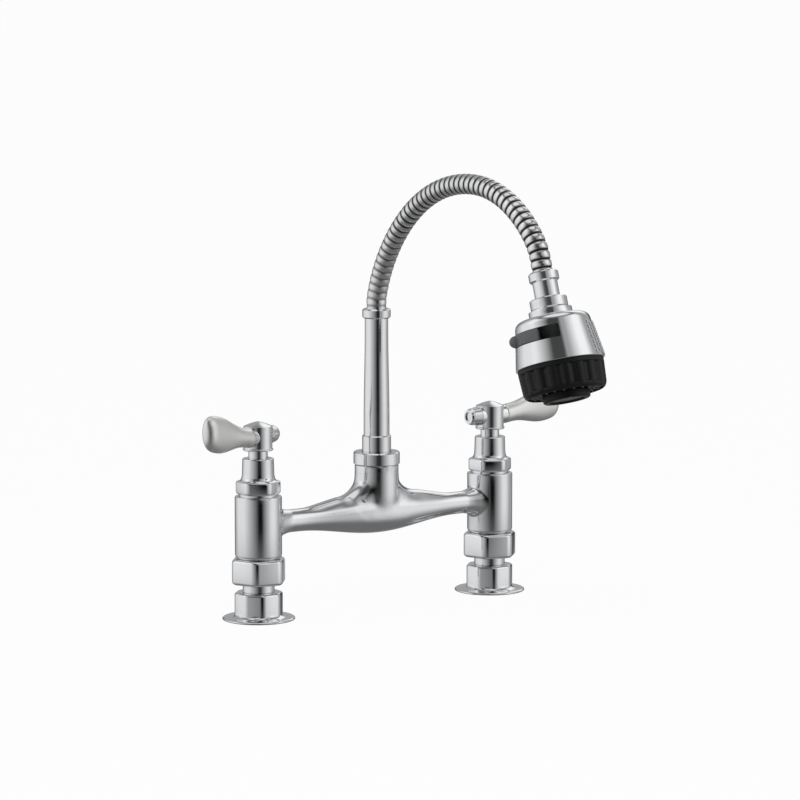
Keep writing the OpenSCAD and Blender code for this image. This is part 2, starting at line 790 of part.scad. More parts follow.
// Lengths of the handles that shape the two halves of the arch
foot_pull = 39;
back_pull = 64;
front_pull = 45;
head_pull = 13.5;
rise_curve = [bend_start, bend_start + foot_pull * [0, -sin(hose_tilt), cos(hose_tilt)], apex + [0, back_pull, 0], apex];
fall_curve = [apex, apex - [0, front_pull, 0], bend_end - head_down * head_pull, bend_end];

curve_steps = 60;
route = concat(
    [hose_start],
    [for (i = [0 : curve_steps]) bezier(rise_curve, i / curve_steps)],
    [for (i = [1 : curve_steps]) bezier(fall_curve, i / curve_steps)],
    [hose_end]
);
function running_length(points, i = 0, sum = 0) =
    i >= len(points) - 1 ? [sum] : concat([sum], running_length(points, i + 1, sum + norm(points[i + 1] - points[i])));
route_lengths = running_length(route);
hose_length = route_lengths[len(route) - 1];
route_y = [for (i = [0 : len(route) - 1]) [route_lengths[i], route[i].y]];
route_z = [for (i = [0 : len(route) - 1]) [route_lengths[i], route[i].z]];

// Place and direction at a length along the hose; both stay in the plane x = 0
function on_hose(d) = [0, lookup(d, route_y), lookup(d, route_z)];
function along_hose(d) =
    d <= hose_d * 0.7 ? [0, 0, 1]
    : d >= hose_length - hose_d ? head_down
    : let (v = on_hose(d + 1) - on_hose(d - 1)) v / norm(v);

// A ring of points round the hose
function hose_ring(d, r, sides) =
    let (p = on_hose(d), t = along_hose(d), side = [0, -t.z, t.y])
    [for (k = [0 : sides - 1]) let (a = 360 * (k + 0.5) / sides) p + r * (cos(a) * [1, 0, 0] + sin(a) * side)];

// A tube between an outer and an inner list of [length, radius], open at both ends
module hose_tube(outer, inner, sides) {
    n = len(outer);
    m = len(inner);
    points = concat(
        [for (o = outer) each hose_ring(o[0], o[1], sides)],
        [for (o = inner) each hose_ring(o[0], o[1], sides)]
    );
    function quad(a, b, c, d) = [[a, b, c], [a, c, d]];
    skin = [for (i = [0 : n - 2], k = [0 : sides - 1]) let (j = (k + 1) % sides)
        each quad(i * sides + k, (i + 1) * sides + k, (i + 1) * sides + j, i * sides + j)];
    wall = [for (i = [0 : m - 2], k = [0 : sides - 1]) let (j = (k + 1) % sides, o = n * sides)
        each quad(o + i * sides + k, o + i * sides + j, o + (i + 1) * sides + j, o + (i + 1) * sides + k)];
    foot = [for (k = [0 : sides - 1]) let (j = (k + 1) % sides, o = n * sides)
        each quad(k, j, o + j, o + k)];
    top = [for (k = [0 : sides - 1]) let (j = (k + 1) % sides, a = (n - 1) * sides, b = (n + m - 1) * sides)
        each quad(a + k, b + k, b + j, a + j)];
    polyhedron(points, concat(skin, wall, foot, top));
}

// Least distance between two stretches of the hose that lie over five diameters apart along it
hose_samples = [for (i = [0 : 40]) hose_length * i / 40];
hose_least_gap = min([for (a = hose_samples, b = hose_samples) if (b - a > 5 * hose_d) norm(on_hose(a) - on_hose(b))]) - hose_d;
echo(hose_length = hose_length, hose_rib_pitch = hose_length / hose_ribs, hose_least_gap = hose_least_gap);

module gooseneck_hose() {
    pitch = hose_length / hose_ribs;
    crest = hose_d / 2;
    outer = concat(
        [for (i = [0 : hose_ribs - 1]) each [[pitch * i, crest], [pitch * (i + 0.75), crest - rib_depth]]],
        [[hose_length, crest]]
    );
    inner_steps = floor(hose_ribs * 0.7);
    inner = [for (i = [0 : inner_steps]) [hose_length * i / inner_steps, hose_bore_d / 2]];
    color("silver") hose_tube(outer, inner, 8);
}

module hose_liner() {
    steps = 28;
    outer = [for (i = [0 : steps]) [hose_length * i / steps, liner_d / 2]];
    inner = [for (i = [0 : steps]) [hose_length * i / steps, liner_bore_d / 2]];
    color("lightgray") hose_tube(outer, inner, 8);
}

module hose_end_fitting() {
    color("gainsboro") at_head() difference() {
        union() {
            translate([0, 0, -ring_s]) turned(ring_d, ring_h, 1);
            translate([0, 0, ring_s - 1]) turned(neck_d, neck_h + 1, 0.4);
            translate([0, 0, nut_s - 1]) cylinder(d = head_spigot_d, h = fitting_foot_s - nut_s + 1.5);
            translate([0, 0, fitting_foot_s]) turned(head_spigot_d + 4, fitting_foot_h, 0.3);
        }
        bore(hose_d + 2 * fit_gap, -ring_s, -ring_s + 3.5);
        bore(barb_water_d, -ring_s, seal_s);
    }
    color("gainsboro") at_head() difference() {
        translate([0, 0, -ring_s + 3.5 - barb_len]) cylinder(d = barb_d, h = barb_len + 0.5);
        bore(barb_water_d, -ring_s + 3 - barb_len, 2);
    }
}

// Spray head

module head_seal() {
    color("black") at_head() translate([0, 0, seal_s + ring_cord / 2])
        rotate_extrude() translate([barb_water_d / 2 + 2, 0]) circle(d = ring_cord);
}

module head_swivel_nut() {
    color("gainsboro") at_head() difference() {
        union() {
            translate([0, 0, nut_s + free_gap]) turned(head_nut_d, head_nut_h - free_gap, 0.6);
            translate([0, 0, nut_s + 2]) cylinder(d = head_nut_d - 4, h = head_nut_h + collar_h - 1.6);
        }
        bore(head_spigot_d + 2 * run_gap, nut_s, collar_s + collar_h + 1);
    }
}

// Outer radius of the bell's flank at a distance down the head
function bell_r(s) = shoulder_d / 2 + (mouth_d - shoulder_d) / 2 * (s - shoulder_s) / bell_h;

module bell_outline(inset) {
    round_r = 5.4;
    top_s = collar_s + collar_h;
    polygon(concat(
        [[0, top_s + inset]],
        [[collar_d / 2 + 0.6, top_s + inset]],
        arc([shoulder_d / 2 - round_r, shoulder_s], round_r - inset, -86, -6, 6),
        [[bell_r(mouth_s) - inset, mouth_s + (inset > 0 ? 1 : 0)], [0, mouth_s + (inset > 0 ? 1 : 0)]]
    ));
}

module grip_ribs() {
    ribs = 9;
    from_s = shoulder_s + 1;
    length = bell_h - 3;
    lean = atan((mouth_d - shoulder_d) / 2 / bell_h);
    for (i = [0 : ribs - 1]) rotate([0, 0, 4 + 8 * i])
        translate([bell_r(from_s) - 1.2, -0.9, from_s]) rotate([0, lean, 0])
            cube([1.9, 1.8, length]);
}

module bell_shell() {
    color("gainsboro") at_head() difference() {
        union() {
            rotate_extrude() bell_outline(0);
            translate([0, 0, collar_s]) turned(collar_d, collar_h + 2, 0.5);
            grip_ribs();
        }
        rotate_extrude() bell_outline(bell_wall);
        bore(head_nut_d - 4 + 2 * fit_gap, collar_s, collar_s + collar_h);
        bore(head_spigot_d + 6.4, collar_s + collar_h, collar_s + collar_h + bell_wall + 1);
        translate([0, 0, slide_s]) rotate([0, 0, window_from]) rotate_extrude(angle = window_span)
            translate([bell_r(slide_s) - 6, 0]) square([12, slide_h]);
    }
}

module spray_manifold() {
    core_s = seal_s + ring_cord + 0.1;
    floor_s = disc_s + 2.8;
    floor_h = 3;
    core_d = head_spigot_d + 6.2;
    color("dimgray") at_head() difference() {
        union() {
            translate([0, 0, core_s]) cylinder(d = core_d, h = floor_s - core_s + 1);
            translate([0, 0, floor_s]) cylinder(r = bell_r(floor_s) - bell_wall - 0.2, h = floor_h);
            translate([0, 0, floor_s + 1]) cylinder(d = outlet_d - 6, h = outlet_s - floor_s - 1);
        }
        bore(barb_water_d + 1, core_s, disc_s);
        bore(core_d - 4, disc_s - 0.4, floor_s);
        bore(outlet_d - 16, floor_s, plate_s);
        for (a = [0 : 60 : 300]) rotate([0, 0, a]) translate([outlet_d / 2 + 3, 0, 0]) bore(4, floor_s, floor_s + floor_h);
        translate([0, 0, disc_s]) rotate([0, 0, slide_from - slide_travel - 4]) rotate_extrude(angle = slide_travel + slide_span + 8)
            translate([core_d / 2 - 3, -0.5]) square([4, 2.9]);
    }
}

module grip_ring() {
    top_d = mouth_d - 2.4;
    lean = atan((top_d - grip_d) / 2 / grip_h);
    color("black") at_head() difference() {
        union() {
            translate([0, 0, mouth_s])
                rotate_extrude()
                    polygon([
                        [0, 0], [top_d / 2, 0], [grip_d / 2, grip_h - 3],
                        [grip_d / 2 - 0.8, grip_h - 1.2], [grip_d / 2 - 2.6, grip_h], [0, grip_h]
                    ]);
            translate([0, 0, mouth_s - 3])
                cylinder(r = bell_r(mouth_s - 3) - bell_wall - fit_gap, h = 4);
        }
        translate([0, 0, mouth_s - 3 - eps])
            cylinder(r1 = bell_r(mouth_s) - bell_wall - 2.6, r2 = grip_d / 2 - grip_wall - 1, h = plate_s - mouth_s + 3);
        bore(2 * (grip_d / 2 - grip_wall - 1) + 0.6, plate_s - 0.2, foot_s);
        for (i = [0 : grip_hollows - 1]) rotate([0, 0, 360 * (i + 0.5) / grip_hollows])
            translate([top_d / 2 + 5, 0, mouth_s + 3.5]) rotate([0, -lean, 0])
                cylinder(r = 6.2, h = grip_h);
    }
}

// Places of the spray nozzles, in two rows
module at_nozzles() {
    inner_r = outlet_d / 2 + 3;
    outer_r = grip_d / 2 - grip_wall - 3.4;
    for (i = [0 : nozzles - 1]) {
        rotate([0, 0, 360 * i / nozzles]) translate([outer_r, 0, 0]) children();
        rotate([0, 0, 360 * (i + 0.5) / nozzles]) translate([inner_r, 0, 0]) children();
    }
}

module spray_plate() {
    color("black") at_head() difference() {
        translate([0, 0, plate_s]) turned(2 * (grip_d / 2 - grip_wall - 0.8), plate_t, 0.3);
        bore(outlet_d - 3, plate_s, plate_s + plate_t);
        at_nozzles() bore(2.4, plate_s, plate_s + plate_t);
    }
}

module nozzle_mat() {
    inner_r = outlet_d / 2 - 1.5;
    color("gray") at_head() {
        difference() {
            translate([0, 0, plate_s - mat_t]) cylinder(d = grip_d - 2 * grip_wall - 3, h = mat_t);
            bore(2 * inner_r, plate_s - mat_t, plate_s);
        }
        at_nozzles() translate([0, 0, plate_s - 0.2])
            cylinder(d1 = 2, d2 = 1.5, h = plate_t + 0.9, $fn = 24);
    }
}

module outlet_boss() {
    color("black") at_head() difference() {
        union() {
            translate([0, 0, outlet_s]) cylinder(d = outlet_d - 3.2, h = plate_s + plate_t - outlet_s + 0.5);
            translate([0, 0, plate_s + plate_t]) turned(outlet_d, foot_s + outlet_out - plate_s - plate_t, 0.8);
        }
        bore(outlet_d - 8, outlet_s, foot_s + outlet_out);
    }
}

module aerator() {
    length = foot_s + outlet_out - 1 - outlet_s;
    pitch = 2.6;
    size = outlet_d - 8 - 2 * fit_gap;
    color("silver") at_head() difference() {
        translate([0, 0, outlet_s]) turned(size, length, 0.4);
        for (x = [-3 : 3], y = [-3 : 3])
            if (norm([x, y]) * pitch < size / 2 - 2)
                translate([x * pitch - 0.8, y * pitch - 0.8, outlet_s + length - 2]) cube([1.6, 1.6, 3]);
    }
}

// Diverter

module diverter_slide() {
    play = free_gap;
    low = slide_s + play;
    high = slide_s + slide_h - play;
    lip = 1.4;
    inner_gap = bell_wall + free_gap;
    core_r = (head_spigot_d + 6.2) / 2;
    color("dimgray") at_head() {
        rotate([0, 0, slide_from]) rotate_extrude(angle = slide_span)
            polygon([
                [bell_r(low) - inner_gap - 0.3, low], [bell_r(low) + 0.6, low],
                [bell_r(high) + 0.6, high], [bell_r(high) - inner_gap - 0.3, high]
            ]);
        rotate([0, 0, slide_from]) rotate_extrude(angle = slide_span)
            polygon([
                [bell_r(low - lip) - inner_gap - 1.6, low - lip + 0.4],
                [bell_r(low - lip) - inner_gap, low - lip + 0.4],
                [bell_r(high + lip) - inner_gap, high + lip],
                [bell_r(high + lip) - inner_gap - 1.6, high + lip]
            ]);
        rotate([0, 0, slide_from + slide_span - 9]) translate([bell_r(slide_s) - 2, 0, (low + high) / 2])
            rotate([0, 90, 0]) turned(high - low - 0.4, 6, 1.4);
        translate([0, 0, disc_s + 0.2]) rotate([0, 0, slide_from + slide_span / 2 - 8]) rotate_extrude(angle = 16)
            translate([core_r - 2.6, 0]) square([bell_r(disc_s) - inner_gap - core_r + 2.2, 1.6]);
    }
}

module diverter_disc() {
    core_r = (head_spigot_d + 6.2) / 2;
    color("white") at_head() difference() {
        translate([0, 0, disc_s - 0.3]) cylinder(r = core_r - 2.8, h = 3);
        for (a = [0, 120, 240]) rotate([0, 0, a]) translate([core_r * 0.5, 0, 0]) bore(3, disc_s - 0.3, disc_s + 2.7);
    }
}

deck_flange(-1);  // deck_flange_left
deck_flange(1);  // deck_flange_right
tailpiece(-1);  // tailpiece_left
tailpiece(1);  // tailpiece_right
union_washer(-1);  // union_washer_left
union_washer(1);  // union_washer_right
coupling_nut(-1);  // coupling_nut_left
coupling_nut(1);  // coupling_nut_right
bridge_body();
seat_seal(-1);  // seat_seal_left
seat_seal(1);  // seat_seal_right
cartridge_shell(-1);  // cartridge_shell_left
cartridge_shell(1);  // cartridge_shell_right
fixed_disc(-1);  // fixed_disc_left
fixed_disc(1);  // fixed_disc_right
bonnet(-1);  // bonnet_left
bonnet(1);  // bonnet_right
swivel_nut();
thrust_washer();
moving_disc(-1);  // moving_disc_left
moving_disc(1);  // moving_disc_right
stem(-1);  // stem_left
stem(1);  // stem_right
stem_ring(-1);  // stem_ring_left
stem_ring(1);  // stem_ring_right
handle_hub(-1);  // handle_hub_left
handle_hub(1);  // handle_hub_right
handle_screw(-1);  // handle_screw_left
handle_screw(1);  // handle_screw_right
hub_cap(-1);  // hub_cap_left
hub_cap(1);  // hub_cap_right
lever(-1);  // lever_left
lever(1);  // lever_right
lever_nub(-1);  // lever_nub_left
lever_nub(1);  // lever_nub_right
spout_ferrule();
spout_ring(spout_ring_zs[0]);  // spout_ring_lower
spout_ring(spout_ring_zs[1]);  // spout_ring_upper
riser_tube();
riser_top_ring();
hose_barb();
hose_liner();
gooseneck_hose();
hose_end_fitting();
head_seal();
head_swivel_nut();
bell_shell();
spray_manifold();
grip_ring();
spray_plate();
nozzle_mat();
outlet_boss();
aerator();
diverter_slide();
diverter_disc();
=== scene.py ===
# %% [markdown]
# # A bridge faucet with a flexible spout
# Two lever valves stand on a deck and share one cast bridge. A tube rises from the bridge's
# middle, a ribbed steel gooseneck arches forward from it, and a chrome spray head hangs at its end.
# The measured CAD model is loaded first. It fixes every size and place, so a new piece only has
# to be modelled where the CAD says, in metres, with Z up and the spout pointing to -Y.

# %% Load the measured model
import math

import bpy
from mathutils import Matrix, Vector


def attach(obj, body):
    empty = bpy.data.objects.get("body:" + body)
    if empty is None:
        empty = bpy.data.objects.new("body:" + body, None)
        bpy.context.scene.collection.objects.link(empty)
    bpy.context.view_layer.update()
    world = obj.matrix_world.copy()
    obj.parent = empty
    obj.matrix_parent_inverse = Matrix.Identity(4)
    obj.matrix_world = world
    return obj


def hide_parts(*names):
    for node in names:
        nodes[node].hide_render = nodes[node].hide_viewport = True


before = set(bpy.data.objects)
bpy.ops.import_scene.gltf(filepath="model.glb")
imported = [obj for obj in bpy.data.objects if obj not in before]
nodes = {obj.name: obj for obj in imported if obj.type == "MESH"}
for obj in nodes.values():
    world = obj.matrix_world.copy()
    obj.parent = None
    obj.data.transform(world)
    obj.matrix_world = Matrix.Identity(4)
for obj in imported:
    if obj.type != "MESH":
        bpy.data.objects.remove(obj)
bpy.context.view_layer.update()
MM = 0.001

# %% [markdown]
# The camera stands where the photograph was taken from: in front, 35.5 degrees to the left of
# straight ahead and 7 degrees above level, far enough away that the two posts look almost the
# same size. The lens is worked out from an 800 pixel wide picture, so the faucet fills the frame
# as it did there.

# %% Camera at the photograph's view
view_turn = math.radians(35.5)
view_drop = math.radians(7.023)
camera_distance = 2571.27 * MM
aim_height = 148.18
aim_right = 16.79
picture_width = 800
focal_pixels = 3590.18

picture_right = Vector((math.cos(view_turn), -math.sin(view_turn), 0))
camera_forward = Vector((
    math.sin(view_turn) * math.cos(view_drop),
    math.cos(view_turn) * math.cos(view_drop),
    -math.sin(view_drop),
))
aim_point = Vector((0, 0, aim_height * MM)) + picture_right * aim_right * MM

camera_data = bpy.data.cameras.new("photo_camera")
camera = bpy.data.objects.new("photo_camera", camera_data)
bpy.context.collection.objects.link(camera)
camera.location = aim_point - camera_forward * camera_distance
camera.rotation_euler = camera_forward.to_track_quat("-Z", "Y").to_euler()
camera_data.lens = camera_data.sensor_width * focal_pixels / picture_width
bpy.context.scene.camera = camera
print("lens: %.1f mm" % camera_data.lens)

# %% [markdown]
# Colours are written as sRGB hex values, the numbers a colour picker shows. Blender's shaders
# want linear values, so one function does the conversion for every material in the file.

# %% Colour and node helpers
def linear(hex_colour):
    """An sRGB hex colour as the linear RGBA that shaders use"""
    channels = [int(hex_colour[i:i + 2], 16) / 255 for i in (1, 3, 5)]
    return [c / 12.92 if c <= 0.04045 else ((c + 0.055) / 1.055) ** 2.4 for c in channels] + [1.0]


def add_node(tree, kind, inputs=None, **settings):
    """Add a node with its settings, and fill its inputs with values or other nodes' outputs"""
    node = tree.nodes.new(kind)
    for name, value in settings.items():
        setattr(node, name, value)
    for name, value in (inputs or {}).items():
        if isinstance(value, bpy.types.NodeSocket):
            tree.links.new(value, node.inputs[name])
        else:
            node.inputs[name].default_value = value
    return node


def per_metre(size_mm):
    """Texture scale on Object coordinates for a pattern whose features are size_mm wide"""
    return 1 / (size_mm * MM)


print("linear mid grey: %.3f" % linear("#808080")[0])

# %% [markdown]
# Polished chrome shows the room rather than a colour of its own, so the studio matters more than
# the material. Product photographers light chrome with tall white panels and leave dark gaps
# between them: the gap right behind the camera becomes the dark streak down each round part.
# Here the world itself is that studio: two rings of panels painted by compass direction, one at
# eye level and one above it, with a floor and a ceiling. Only the camera sees plain white behind
# the object. The chrome doesn't show that white, because everything but a camera ray sees the room.
#
# The room has only a few tones: softboxes, walls, dark gaps, floor and ceiling. A colour ramp
# blends from each to the next, as a big softbox fades towards its edge. Two thin gaps on the far
# side draw a dark line into the chrome when it is seen from behind.

# %% The studio: white panels with dark gaps between them
SOFTBOX = "#DCDCDC"
HIGH_SOFTBOX = "#F0F0F0"
WALL = "#989898"
CAMERA_GAP = "#0A0A0A"
HIGH_GAP = "#404040"
FAR_GAP = "#444444"
FLOOR_SHEET = "#686868"
CEILING = "#727272"
ROOM_STRENGTH = 1.25

EYE_LEVEL_PANELS = [
    # degrees clockwise from straight behind the camera, and what stands there
    (-180, WALL), (-165, WALL), (-160, FAR_GAP), (-150, FAR_GAP), (-145, WALL),
    (-110, SOFTBOX), (-70, SOFTBOX), (5, CAMERA_GAP), (20, CAMERA_GAP), (70, SOFTBOX),
    (90, SOFTBOX), (120, WALL), (145, WALL), (150, FAR_GAP), (160, FAR_GAP), (165, WALL),
    (180, WALL),
]

UPPER_PANELS = [
    (-180, WALL), (-140, WALL), (-90, HIGH_SOFTBOX), (-80, HIGH_SOFTBOX), (-25, HIGH_GAP),
    (10, HIGH_GAP), (20, WALL), (30, WALL), (70, HIGH_SOFTBOX), (90, HIGH_SOFTBOX),
    (110, WALL), (130, WALL), (150, HIGH_SOFTBOX), (170, HIGH_SOFTBOX), (180, WALL),
]

LEVELS = [
    # height of the direction, 0 straight down and 1 straight up, and what is there
    (0.0, FLOOR_SHEET), (0.2, FLOOR_SHEET), (0.5, WALL), (0.9, CEILING), (0.93, CEILING),
    (0.97, SOFTBOX), (1.0, SOFTBOX),
]


def fill_ramp(ramp, stops):
    """Set a colour ramp's stops from (position, hex colour) pairs"""
    elements = ramp.color_ramp.elements
    elements[0].position, elements[0].color = stops[0][0], linear(stops[0][1])
    elements[-1].position, elements[-1].color = stops[-1][0], linear(stops[-1][1])
    for position, colour in stops[1:-1]:
        elements.new(position).color = linear(colour)


world = bpy.data.worlds.new("panel_studio")
bpy.context.scene.world = world
world.use_nodes = True
tree = world.node_tree
tree.nodes.clear()
direction = add_node(tree, "ShaderNodeTexCoord").outputs["Generated"]
turned_view = add_node(
    tree, "ShaderNodeMapping", {"Vector": direction, "Rotation": (0, 0, view_turn)},
    vector_type="POINT",
).outputs["Vector"]
parts = add_node(tree, "ShaderNodeSeparateXYZ", {"Vector": turned_view})
behind = add_node(tree, "ShaderNodeMath", {0: parts.outputs["Y"], 1: -1.0}, operation="MULTIPLY")
compass = add_node(
    tree, "ShaderNodeMath", {0: parts.outputs["X"], 1: behind.outputs[0]}, operation="ARCTAN2")
around = add_node(tree, "ShaderNodeMapRange", {
    "Value": compass.outputs[0], "From Min": -math.pi, "From Max": math.pi})
rings = []
for panels in (EYE_LEVEL_PANELS, UPPER_PANELS):
    ring = add_node(tree, "ShaderNodeValToRGB", {"Fac": around.outputs["Result"]})
    fill_ramp(ring, [((degrees + 180) / 360, grey) for degrees, grey in panels])
    rings.append(ring.outputs["Color"])
up = parts.outputs["Z"]


def fade(start, end):
    """A smooth step from 0 to 1 between two heights of the direction"""
    return add_node(
        tree, "ShaderNodeMapRange", {"Value": up, "From Min": start, "From Max": end},
        interpolation_type="SMOOTHSTEP").outputs["Result"]


height = add_node(tree, "ShaderNodeMapRange", {"Value": up, "From Min": -1.0, "From Max": 1.0})
levels = add_node(tree, "ShaderNodeValToRGB", {"Fac": height.outputs["Result"]})
fill_ramp(levels, LEVELS)
walls = add_node(tree, "ShaderNodeMix", {
    "Factor": fade(0.2, 0.42), "A": rings[0], "B": rings[1]}, data_type="RGBA")
steep = add_node(
    tree, "ShaderNodeMath", {0: fade(0.70, 0.84), 1: fade(0.0, -0.8)}, operation="MAXIMUM")
room = add_node(tree, "ShaderNodeMix", {
    "Factor": steep.outputs[0], "A": walls.outputs["Result"], "B": levels.outputs["Color"]},
    data_type="RGBA")
light_path = add_node(tree, "ShaderNodeLightPath")
seen_room = add_node(
    tree, "ShaderNodeBackground", {"Color": room.outputs["Result"], "Strength": ROOM_STRENGTH})
white = add_node(tree, "ShaderNodeBackground", {"Color": linear("#FFFFFF"), "Strength": 1.0})
sky = add_node(tree, "ShaderNodeMixShader", {
    "Fac": light_path.outputs["Is Camera Ray"], 1: seen_room.outputs[0], 2: white.outputs[0]})
add_node(tree, "ShaderNodeOutputWorld", {"Surface": sky.outputs[0]})
print("panels:", len(EYE_LEVEL_PANELS), "and", len(UPPER_PANELS))

# %% [markdown]
# One soft lamp above and to the left brightens the plastics and puts a faint shadow on the floor.
# The floor is a big pale sheet. To the camera it is mixed with plain white, so that it runs into
# the white background, and the shadow stays. Lamp and floor are kept out of reflections, where
# the painted room takes their place.

# %% Lamp, floor and view settings
FLOOR_WHITENESS = 0.95   # how much of the paper the camera sees as plain white

key_data = bpy.data.lights.new("key_softbox", "AREA")
key_data.shape = "RECTANGLE"
key_data.size = 0.9
key_data.size_y = 0.9
key_data.energy = 9
key = bpy.data.objects.new("key_softbox", key_data)
bpy.context.collection.objects.link(key)
key.visible_glossy = False
key.location = (-0.9, -1.1, 1.6)
key.rotation_euler = (Vector((0, -0.05, 0.12)) - key.location).to_track_quat("-Z", "Y").to_euler()

bpy.ops.object.select_all(action="DESELECT")
bpy.ops.mesh.primitive_plane_add(size=120, location=(0, 0, -0.2 * MM))
floor = bpy.context.object
floor.name = "studio_floor"
floor_paper = bpy.data.materials.new("white_paper_floor")
floor_paper.use_nodes = True
tree = floor_paper.node_tree
tree.nodes.clear()
paper = add_node(tree, "ShaderNodeBsdfDiffuse", {"Color": linear("#F6F6F6")})
glow = add_node(tree, "ShaderNodeEmission", {"Color": linear("#FFFFFF"), "Strength": 1.0})
camera_ray = add_node(tree, "ShaderNodeLightPath").outputs["Is Camera Ray"]
share = add_node(tree, "ShaderNodeMath", {0: camera_ray, 1: FLOOR_WHITENESS}, operation="MULTIPLY")
surface = add_node(tree, "ShaderNodeMixShader", {
    "Fac": share.outputs[0], 1: paper.outputs[0], 2: glow.outputs[0]})
add_node(tree, "ShaderNodeOutputMaterial", {"Surface": surface.outputs[0]})
floor.data.materials.append(floor_paper)
floor.visible_glossy = False
bpy.context.scene.view_settings.view_transform = "Standard"
print("floor ready")

# %% [markdown]
# ## Finishes
# Each finish starts from what the real part is made of and how its surface was made. A small
# function makes the material with its main shader, and each cell then adds what that surface
# does up close: cloudy polish, waves under the plate, moulding grain. The patterns are on Object
# coordinates, in real millimetres. Only the painted shade in the hose's grooves follows a number kept
# on its points.

# %% A material with its main shader
def new_finish(name, colour, metallic, roughness):
    """A material whose main shader has these constants; returns material, tree and shader"""
    material = bpy.data.materials.new(name)
    material.use_nodes = True
    shader = material.node_tree.nodes["Principled BSDF"]
    shader.inputs["Base Color"].default_value = linear(colour)
    shader.inputs["Metallic"].default_value = metallic
    shader.inputs["Roughness"].default_value = roughness
    return material, material.node_tree, shader


def clouded(tree, shader, size_mm, dark, light, rough_low, rough_high, detail=3.0):
    """Let colour and roughness drift between two values in soft patches of a real size"""
    place = add_node(tree, "ShaderNodeTexCoord").outputs["Object"]
    noise = add_node(tree, "ShaderNodeTexNoise", {
        "Vector": place, "Scale": per_metre(size_mm), "Detail": detail, "Roughness": 0.55})
    tint = add_node(tree, "ShaderNodeMix", {
        "Factor": noise.outputs["Fac"], "A": linear(dark), "B": linear(light)}, data_type="RGBA")
    tree.links.new(tint.outputs["Result"], shader.inputs["Base Color"])
    gloss = add_node(tree, "ShaderNodeMapRange", {
        "Value": noise.outputs["Fac"], "From Min": 0.3, "From Max": 0.7,
        "To Min": rough_low, "To Max": rough_high})
    tree.links.new(gloss.outputs["Result"], shader.inputs["Roughness"])
    return place


def bumped(tree, shader, place, size_mm, depth_mm, strength=0.5):
    """Add a fine relief of a real width and depth"""
    grain = add_node(tree, "ShaderNodeTexNoise", {
        "Vector": place, "Scale": per_metre(size_mm), "Detail": 2.0})
    relief = add_node(tree, "ShaderNodeBump", {
        "Strength": strength, "Distance": depth_mm * MM, "Height": grain.outputs["Fac"]})
    tree.links.new(relief.outputs["Normal"], shader.inputs["Normal"])


print("finish helpers ready")

# %% [markdown]
# Chrome plate on polished brass: nearly a mirror. Buffing leaves faint clouds about a fingertip
# wide, where the reflection is a touch softer, and castings keep a slight waviness under the plate.

# %% Chrome
turned_chrome, tree, shader = new_finish("turned_chrome_plate", "#E5E7E9", 1.0, 0.09)
clouded(tree, shader, 14, "#E0E2E4", "#EDEEF0", 0.07, 0.13)

cast_chrome, tree, shader = new_finish("cast_chrome_plate", "#E3E5E7", 1.0, 0.12)
place = clouded(tree, shader, 18, "#DCDEE0", "#EAECED", 0.10, 0.17)
bumped(tree, shader, place, 7, 0.05, strength=0.25)
print("plated finishes:", turned_chrome.name, cast_chrome.name)

# %% [markdown]
# The lever paddles are not mirror bright. Fine blasting before plating leaves a pearly satin
# metal: it gives broad soft highlights and hardly any reflections.

# %% Satin paddle metal
pearl_satin, tree, shader = new_finish("pearl_satin_plate", "#F0F0EE", 1.0, 0.38)
place = clouded(tree, shader, 9, "#EAEAE8", "#F6F6F4", 0.34, 0.42)
bumped(tree, shader, place, 0.6, 0.02, strength=0.2)
print("paddle finish:", pearl_satin.name)

# %% [markdown]
# The gooseneck is wound from a bright steel strip. The ridges are rolled smooth, and the grooves
# between them are duller and carry painted shade: their colour turns dark grey. Every point of the
# hose carries a number, groove, that is 0 on a ridge and 1 in a groove, so the painted shade
# follows the ribs round each bend.

# %% Strip-wound steel
strip_steel, tree, shader = new_finish("strip_wound_steel", "#E6E7E7", 1.0, 0.18)
depth = add_node(tree, "ShaderNodeAttribute", attribute_name="groove").outputs["Fac"]
place = add_node(tree, "ShaderNodeTexCoord").outputs["Object"]
noise = add_node(tree, "ShaderNodeTexNoise", {
    "Vector": place, "Scale": per_metre(5), "Detail": 3.0})
ridge = add_node(tree, "ShaderNodeMix", {
    "Factor": noise.outputs["Fac"], "A": linear("#DADBDB"), "B": linear("#EEEFEE")},
    data_type="RGBA")
# painted shade: the groove number mixes the ridge colour towards dark grey
ridge_and_painted_shade = add_node(tree, "ShaderNodeMix", {
    "Factor": depth, "A": ridge.outputs["Result"], "B": linear("#363738")}, data_type="RGBA")
tree.links.new(ridge_and_painted_shade.outputs["Result"], shader.inputs["Base Color"])
gloss = add_node(tree, "ShaderNodeMapRange", {"Value": depth, "To Min": 0.15, "To Max": 0.5})
tree.links.new(gloss.outputs["Result"], shader.inputs["Roughness"])
print("hose finish:", strip_steel.name)

# %% [markdown]
# Black ABS, moulded against a finely sparked tool: deep charcoal with a soft sheen and a grain
# about 0.4 mm wide, drawn here at 0.7 mm so that it still shows in the render.

# %% Moulded plastics
black_abs, tree, shader = new_finish("moulded_black_abs", "#0F1011", 0.0, 0.42)
shader.inputs["Specular IOR Level"].default_value = 0.3   # the sparked skin breaks up the gloss
place = clouded(tree, shader, 8, "#0B0C0D", "#151617", 0.36, 0.50)
bumped(tree, shader, place, 0.7, 0.05, strength=0.5)

slide_abs, tree, shader = new_finish("moulded_grey_abs", "#5A5C5E", 0.0, 0.40)
place = clouded(tree, shader, 6, "#525456", "#626466", 0.34, 0.46)
bumped(tree, shader, place, 0.7, 0.04, strength=0.4)

white_acetal, tree, shader = new_finish("moulded_white_acetal", "#E8E6DF", 0.0, 0.38)
clouded(tree, shader, 5, "#E1DFD8", "#EEECE6", 0.34, 0.44)

grey_acetal, tree, shader = new_finish("moulded_grey_acetal", "#8C8E8F", 0.0, 0.42)
clouded(tree, shader, 5, "#838586", "#969899", 0.38, 0.48)

